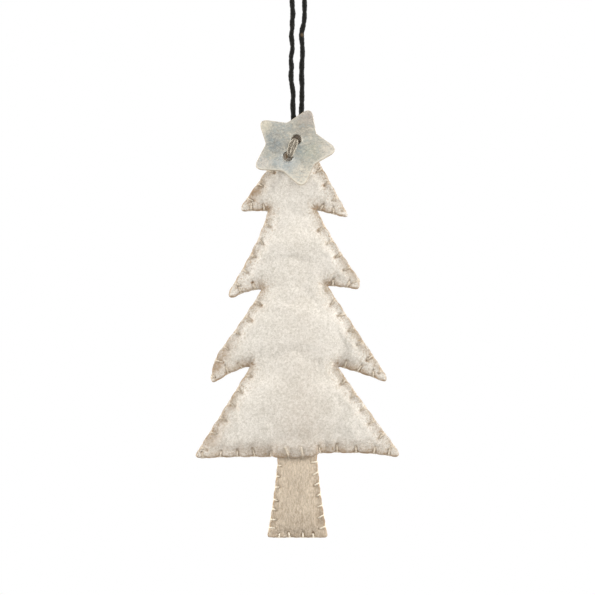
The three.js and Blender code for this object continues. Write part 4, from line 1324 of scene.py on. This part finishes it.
starSettings = {
    "thick": 1.2,
    # Each corner's reach, the degrees it is turned and its rounding, from the tip that points up
    "corners": [
        (12.28, -2.8, 3.1), (7.48, -3.9, 0.65), (13.26, -0.1, 3.1), (8.2, 1.4, 0.65),
        (12.75, 1.8, 3.1), (7.65, 3.5, 0.65), (12.99, 0.8, 3.1), (7.29, 2, 0.65),
        (12.12, 3.5, 3.1), (6.5, 0.2, 0.65),
    ],
    "turn": -23.5, "lean": 6, "middle": (-1.65, -3.109, -52.193),
    "hole": 1.33, "holes": [(0.2, -3.33), (0.46, 1.98)], "holeSides": 40, "bevel": 0.3,
    "lip": 0.22,  # how far outside a hole its rounded lip begins
    # Each step down a hole: how far in from the lip, its height, its painted shade
    "holeSteps": [
        (0.1, 1.17, 0.15), (0.18, 1.1, 0.4), (0.22, 0.98, 0.7), (0.22, 0.6, 0.95),
        (0.22, 0.15, 1), (0.08, 0.02, 1),
    ],
    "wave": 0.05, "waveSize": 3.2, "lit": (-0.35, 0.94),
}


def starLine(c):
    reach, turn, rounding = np.array(c["corners"]).T
    corners = [
        directed(90 - 36 * k + degrees) * far for k, (far, degrees) in enumerate(zip(reach, turn))
    ]
    points, t = [], np.linspace(0, 1, 12)
    for k, corner in enumerate(corners):
        before = corner + unit(corners[k - 1] - corner) * rounding[k]
        after = corner + unit(corners[(k + 1) % 10] - corner) * rounding[k]
        points += curve(before, corner, after, t)
    return Outline(np.array(points), 0.3)


def starPlaced(points, c):
    turn, lean = directed(c["turn"]), directed(90 - c["lean"])
    x = points[:, 0] * turn[0] - points[:, 1] * turn[1]
    y = points[:, 0] * turn[1] + points[:, 1] * turn[0]
    z = points[:, 2]
    moved = np.stack([x, y * lean[0] - z * lean[1], y * lean[1] + z * lean[0]], 1)
    return moved + np.array(c["middle"])


# The star's flat face with both holes cut in it: spots, triangles, the spots along each edge,
# and a circle for the walls of the holes
def starFace(faceLine, c):
    spots, _, ring = filled(faceLine, (), ((0.35, 1e3, 0.6),))
    angles = np.linspace(0, 2 * math.pi, c["holeSides"], endpoint=False)
    circle, wide = np.stack([np.cos(angles), np.sin(angles)], 1), c["hole"] + c["lip"]
    holes = np.array(c["holes"])
    clear = np.linalg.norm(spots[:, None] - holes[None], axis=2).min(1) > wide + 0.25
    clear[ring] = False
    rims = [hole + circle * wide for hole in holes]
    everySpot = np.vstack([faceLine.points, *rims, spots[clear]])
    n, m = len(faceLine.points), c["holeSides"]
    loops = [list(range(n)), list(range(n, n + m)), list(range(n + m, n + 2 * m))]
    places, faces, order = triangulated(everySpot, loops, 1e-6)
    triangles = []
    for face in faces:
        middle = places[list(face)].mean(0)
        fits = np.linalg.norm(middle - holes, axis=1).min() > wide * 0.985
        if fits and faceLine.holds(middle[None])[0]:
            turned = turning(*places[list(face)]) <= 0
            triangles.append(tuple(face[::-1] if turned else face))
    used = sorted({i for t in triangles for i in t})
    back = {old: new for new, old in enumerate(used)}
    triangles = [tuple(back[i] for i in t) for t in triangles]
    return places[used], triangles, [[back[order[k]] for k in loop] for loop in loops], circle


def makeStar(c):
    bevel, thick = c["bevel"], c["thick"]
    faceLine = starLine(c).moved(bevel)
    places, triangles, loops, circle = starFace(faceLine, c)
    count = len(places)
    wave = c["wave"] * lumps(places, c["waveSize"], 31)
    # The lip mark is a painted highlight on the front edge and bevel, strongest where the edge
    # faces the light
    edgeLight = 0.12 + 0.88 * ramp(faceLine.inward @ np.array(c["lit"]), -0.2, 0.9)
    lip = np.zeros(2 * count)
    lip[loops[0]] = 0.9 * edgeLight
    points = [np.column_stack([places, thick + wave]), np.column_stack([places, 0 * wave])]
    marks = [(np.zeros(2 * count), lip, np.zeros(2 * count))]
    faces = triangles + [tuple(i + count for i in t[::-1]) for t in triangles]
    made = 2 * count

    # A wall from the front face down to the back, by rings of points and their marks
    def wall(loop, rings, turned=False):
        nonlocal made
        rows = [loop]
        for flat, height, *tones in rings:
            points.append(np.column_stack([flat, np.full(len(flat), height)]))
            marks.append(tuple(np.broadcast_to(tone, len(flat)) for tone in tones))
            rows.append(list(range(made, made + len(flat))))
            made += len(flat)
        faces.extend(bands([*rows, [k + count for k in loop]], turned))

    profile = []
    for t in (0.33, 0.66, 1.0):
        angle = t * math.pi / 2
        out, height = bevel * math.sin(angle), thick - bevel * (1 - math.cos(angle))
        profile.append((out, height, 1 - t))
    profile += [(bevel + 0.02 * h, thick * h, 0) for h in (0.72, 0.45, 0.25)]
    profile.append((bevel * 0.8, 0.06, 0))
    # Down the bevel the painted highlight fades and the wall's rim colour takes over
    sides = [
        (faceLine.points - faceLine.inward * out, height, 1 - light, light * edgeLight, 0)
        for out, height, light in profile
    ]
    wall(loops[0], sides)
    # Walls down the holes, with painted shade deepening step by step
    for hole, loop in zip(c["holes"], loops[1:]):
        rings = [
            (np.array(hole) + circle * (c["hole"] + c["lip"] - inset), height, 0, 0, dark)
            for inset, height, dark in c["holeSteps"]
        ]
        wall(loop, rings, True)
    marks = dict(zip(("rim", "lip", "hole"), (np.concatenate(column) for column in zip(*marks))))
    piece = pieceFrom("starButton", starPlaced(np.vstack(points), c), faces, "shell", marks)
    given(piece, ["star_button"], "star")


makeStar(starSettings)
print("star made")


# Thread through the button, over its front and over the back felt

buttonThreadSettings = {
    "pitch": 2.1, "ring": 0.16,
    # How far to one side, how proud, how thick, and the paint
    # The pale strands between the taupe ones are painted highlights
    "strands": [
        (-0.98, -0.05, 0.2, "paleThread"), (-0.52, 0.12, 0.36, "taupeThread"),
        (-0.02, 0.3, 0.22, "paleThread"), (0.42, 0.15, 0.34, "taupeThread"),
        (0.92, -0.02, 0.24, "paleThread"),
    ],
    # On the back: the ends of the bar of thread, how proud it is along them, and its strands
    "backRadius": 0.27, "backEnds": ((-1.35, -50.7), (-2.0, -56.0)),
    "backProud": [-3, -0.1, 0.8, 1.1, 1.2, 1.1, 0.8, -0.1, -3],
    # Its pale middle strand is a painted highlight
    "backStrands": [(-0.5, "taupeThread"), (0.02, "paleThread"), (0.5, "taupeThread")],
}


# One piece for each paint. The taupe one stands for the node.
def threadPieces(name, strands, body, node):
    for paint in dict.fromkeys(paint for paint, _ in strands):
        taupe = paint == "taupeThread"
        made = joined([part for other, part in strands if other == paint])
        piece = pieceFrom(name if taupe else f"{name}Pale", *made, paint)
        given(piece, [node] if taupe else [], body)


def makeButtonThread(c, star):
    thick = star["thick"]
    (lowX, low), (highX, high) = star["holes"]
    strands = []
    for aside, proud, radius, paint in c["strands"]:
        top = thick + radius * 0.85 + proud
        a, b = lowX + 0.3 + aside * 0.5, highX - 0.22 + aside * 0.5
        wave = 0.07 * math.sin(5 * aside)
        line = [
            (lowX + 0.3 + aside * 0.3, low + 0.45, -1.6), (a + 0.1, low + 0.4, 0.2),
            (a + 0.1, low + 0.3, thick * 0.85), (a + aside * 0.3, low + 0.95, top),
            (aside + 0.3 + wave, -1.3, top + 0.1), (aside + 0.24 - wave, -0.1, top + 0.1),
            (b + aside * 0.3, high - 0.75, top), (b, high - 0.1, thick * 0.85),
            (b, high - 0.2, 0.2), (highX + aside * 0.4, high - 0.3, -1.6),
        ]
        line = starPlaced(lineThrough(line, c["ring"]), star)
        strands.append((paint, twisted(line, radius, c["pitch"], 4 * aside, 12, 0.8)))
    threadPieces("buttonThread", strands, "star", "button_thread")


def makeBackThread(c):
    top, low = np.array(c["backEnds"])
    t = np.linspace(0, 1, len(c["backProud"]))
    strands = []
    for aside, paint in c["backStrands"]:
        spots = top + (low - top) * t[:, None]
        bow = aside * (0.35 + 0.65 * np.sin(math.pi * t))
        spots[:, 0] += bow + 0.05 * np.sin(9 * t + 6 * aside)
        points, *_ = treeFelts[1].at(spots)
        points[:, 1] += c["backRadius"] * np.array(c["backProud"])
        line = lineThrough(points, c["ring"])
        made = twisted(line, c["backRadius"], c["pitch"], 3 * aside, 12, 0.78)
        strands.append((paint, made))
    threadPieces("buttonThreadBack", strands, "tree", "button_thread_back")


makeButtonThread(buttonThreadSettings, starSettings)
makeBackThread(buttonThreadSettings)
print("button threads made")


# Studio: a white room without walls, a round pale floor below, soft boxes in front and behind

studioSettings = {
    "world": 0.475,
    "floorZ": -760, "floorSides": 64, "floorRings": (500, 1000, 2000, 4000, 6000),
    "aim": (0, 0, -100),
    "lamps": [
        ((-930, -290, 230), 400, 9.15), ((940, -280, 200), 400, 10.25),
        ((0, -420, 800), 400, 1.6), ((-620, 900, 260), 500, 5.0), ((640, 900, 240), 500, 5.4),
    ],
}


def makeStudio(c):
    room = Paint(bpy.data.worlds.new("room"))
    bpy.context.scene.world = room.holder
    # White where the camera sees it, also in and through other things, and dimmer as a light
    seen = room.add("ShaderNodeLightPath", output="Is Camera Ray")
    for way in ("Is Glossy Ray", "Is Transmission Ray"):
        seen = seen.math("MAXIMUM", seen, room.add("ShaderNodeLightPath", output=way))
    values = {"Value": seen, "To Min": c["world"], "To Max": 1}
    level = room.add("ShaderNodeMapRange", None, values)
    sky = room.add("ShaderNodeBackground", None, {"Color": (1, 1, 1, 1), "Strength": level})
    room.add("ShaderNodeOutputWorld", None, {"Surface": sky})

    p = newPaint("floor")
    shade = p.mix(p.noise(p.place(), 40, 2) * 0.2, (0.9, 0.9, 0.9), (0.87, 0.87, 0.87))
    # Paler where the camera sees it, and white far away
    looked = p.add("ShaderNodeLightPath", output="Is Camera Ray")
    far = p.away(p.place(), (0, 0, c["floorZ"]))
    white = looked * (0.5 + 0.5 * far.between(900, 4500))
    glow = {"Emission Color": p.mix(white, (0, 0, 0), (1, 1, 1)), "Emission Strength": 1}
    p.surface(p.mix(white, shade, (0, 0, 0)), 0.95, 0.05, more=glow)
    sides = c["floorSides"]
    angles = np.linspace(0, 2 * math.pi, sides, endpoint=False)
    points = [(0, 0, c["floorZ"])]
    for reach in c["floorRings"]:
        points += [(reach * math.cos(a), reach * math.sin(a), c["floorZ"]) for a in angles]
    rings = 1 + np.arange(len(points) - 1).reshape(-1, sides)
    faces = [(0, 1 + k, 1 + (k + 1) % sides) for k in range(sides)] + bands(rings[::-1])
    mesh = bpy.data.meshes.new("floor")
    mesh.from_pydata((np.array(points) * mm).tolist(), [], faces)
    mesh.materials.append(p.holder)
    shown(mesh)

    for number, (place, size, power) in enumerate(c["lamps"]):
        data = bpy.data.lights.new(f"softBox{number}", "AREA")
        data.shape, data.size, data.energy = "SQUARE", size * mm, power
        lamp = bpy.data.objects.new(f"softBox{number}", data)
        lamp.location = Vector(place) * mm
        aim = Vector(c["aim"]) * mm - lamp.location
        lamp.rotation_euler = aim.to_track_quat("-Z", "Y").to_euler()
        bpy.context.collection.objects.link(lamp)
    bpy.context.scene.view_settings.view_transform = "Standard"


makeStudio(studioSettings)
print("studio made")
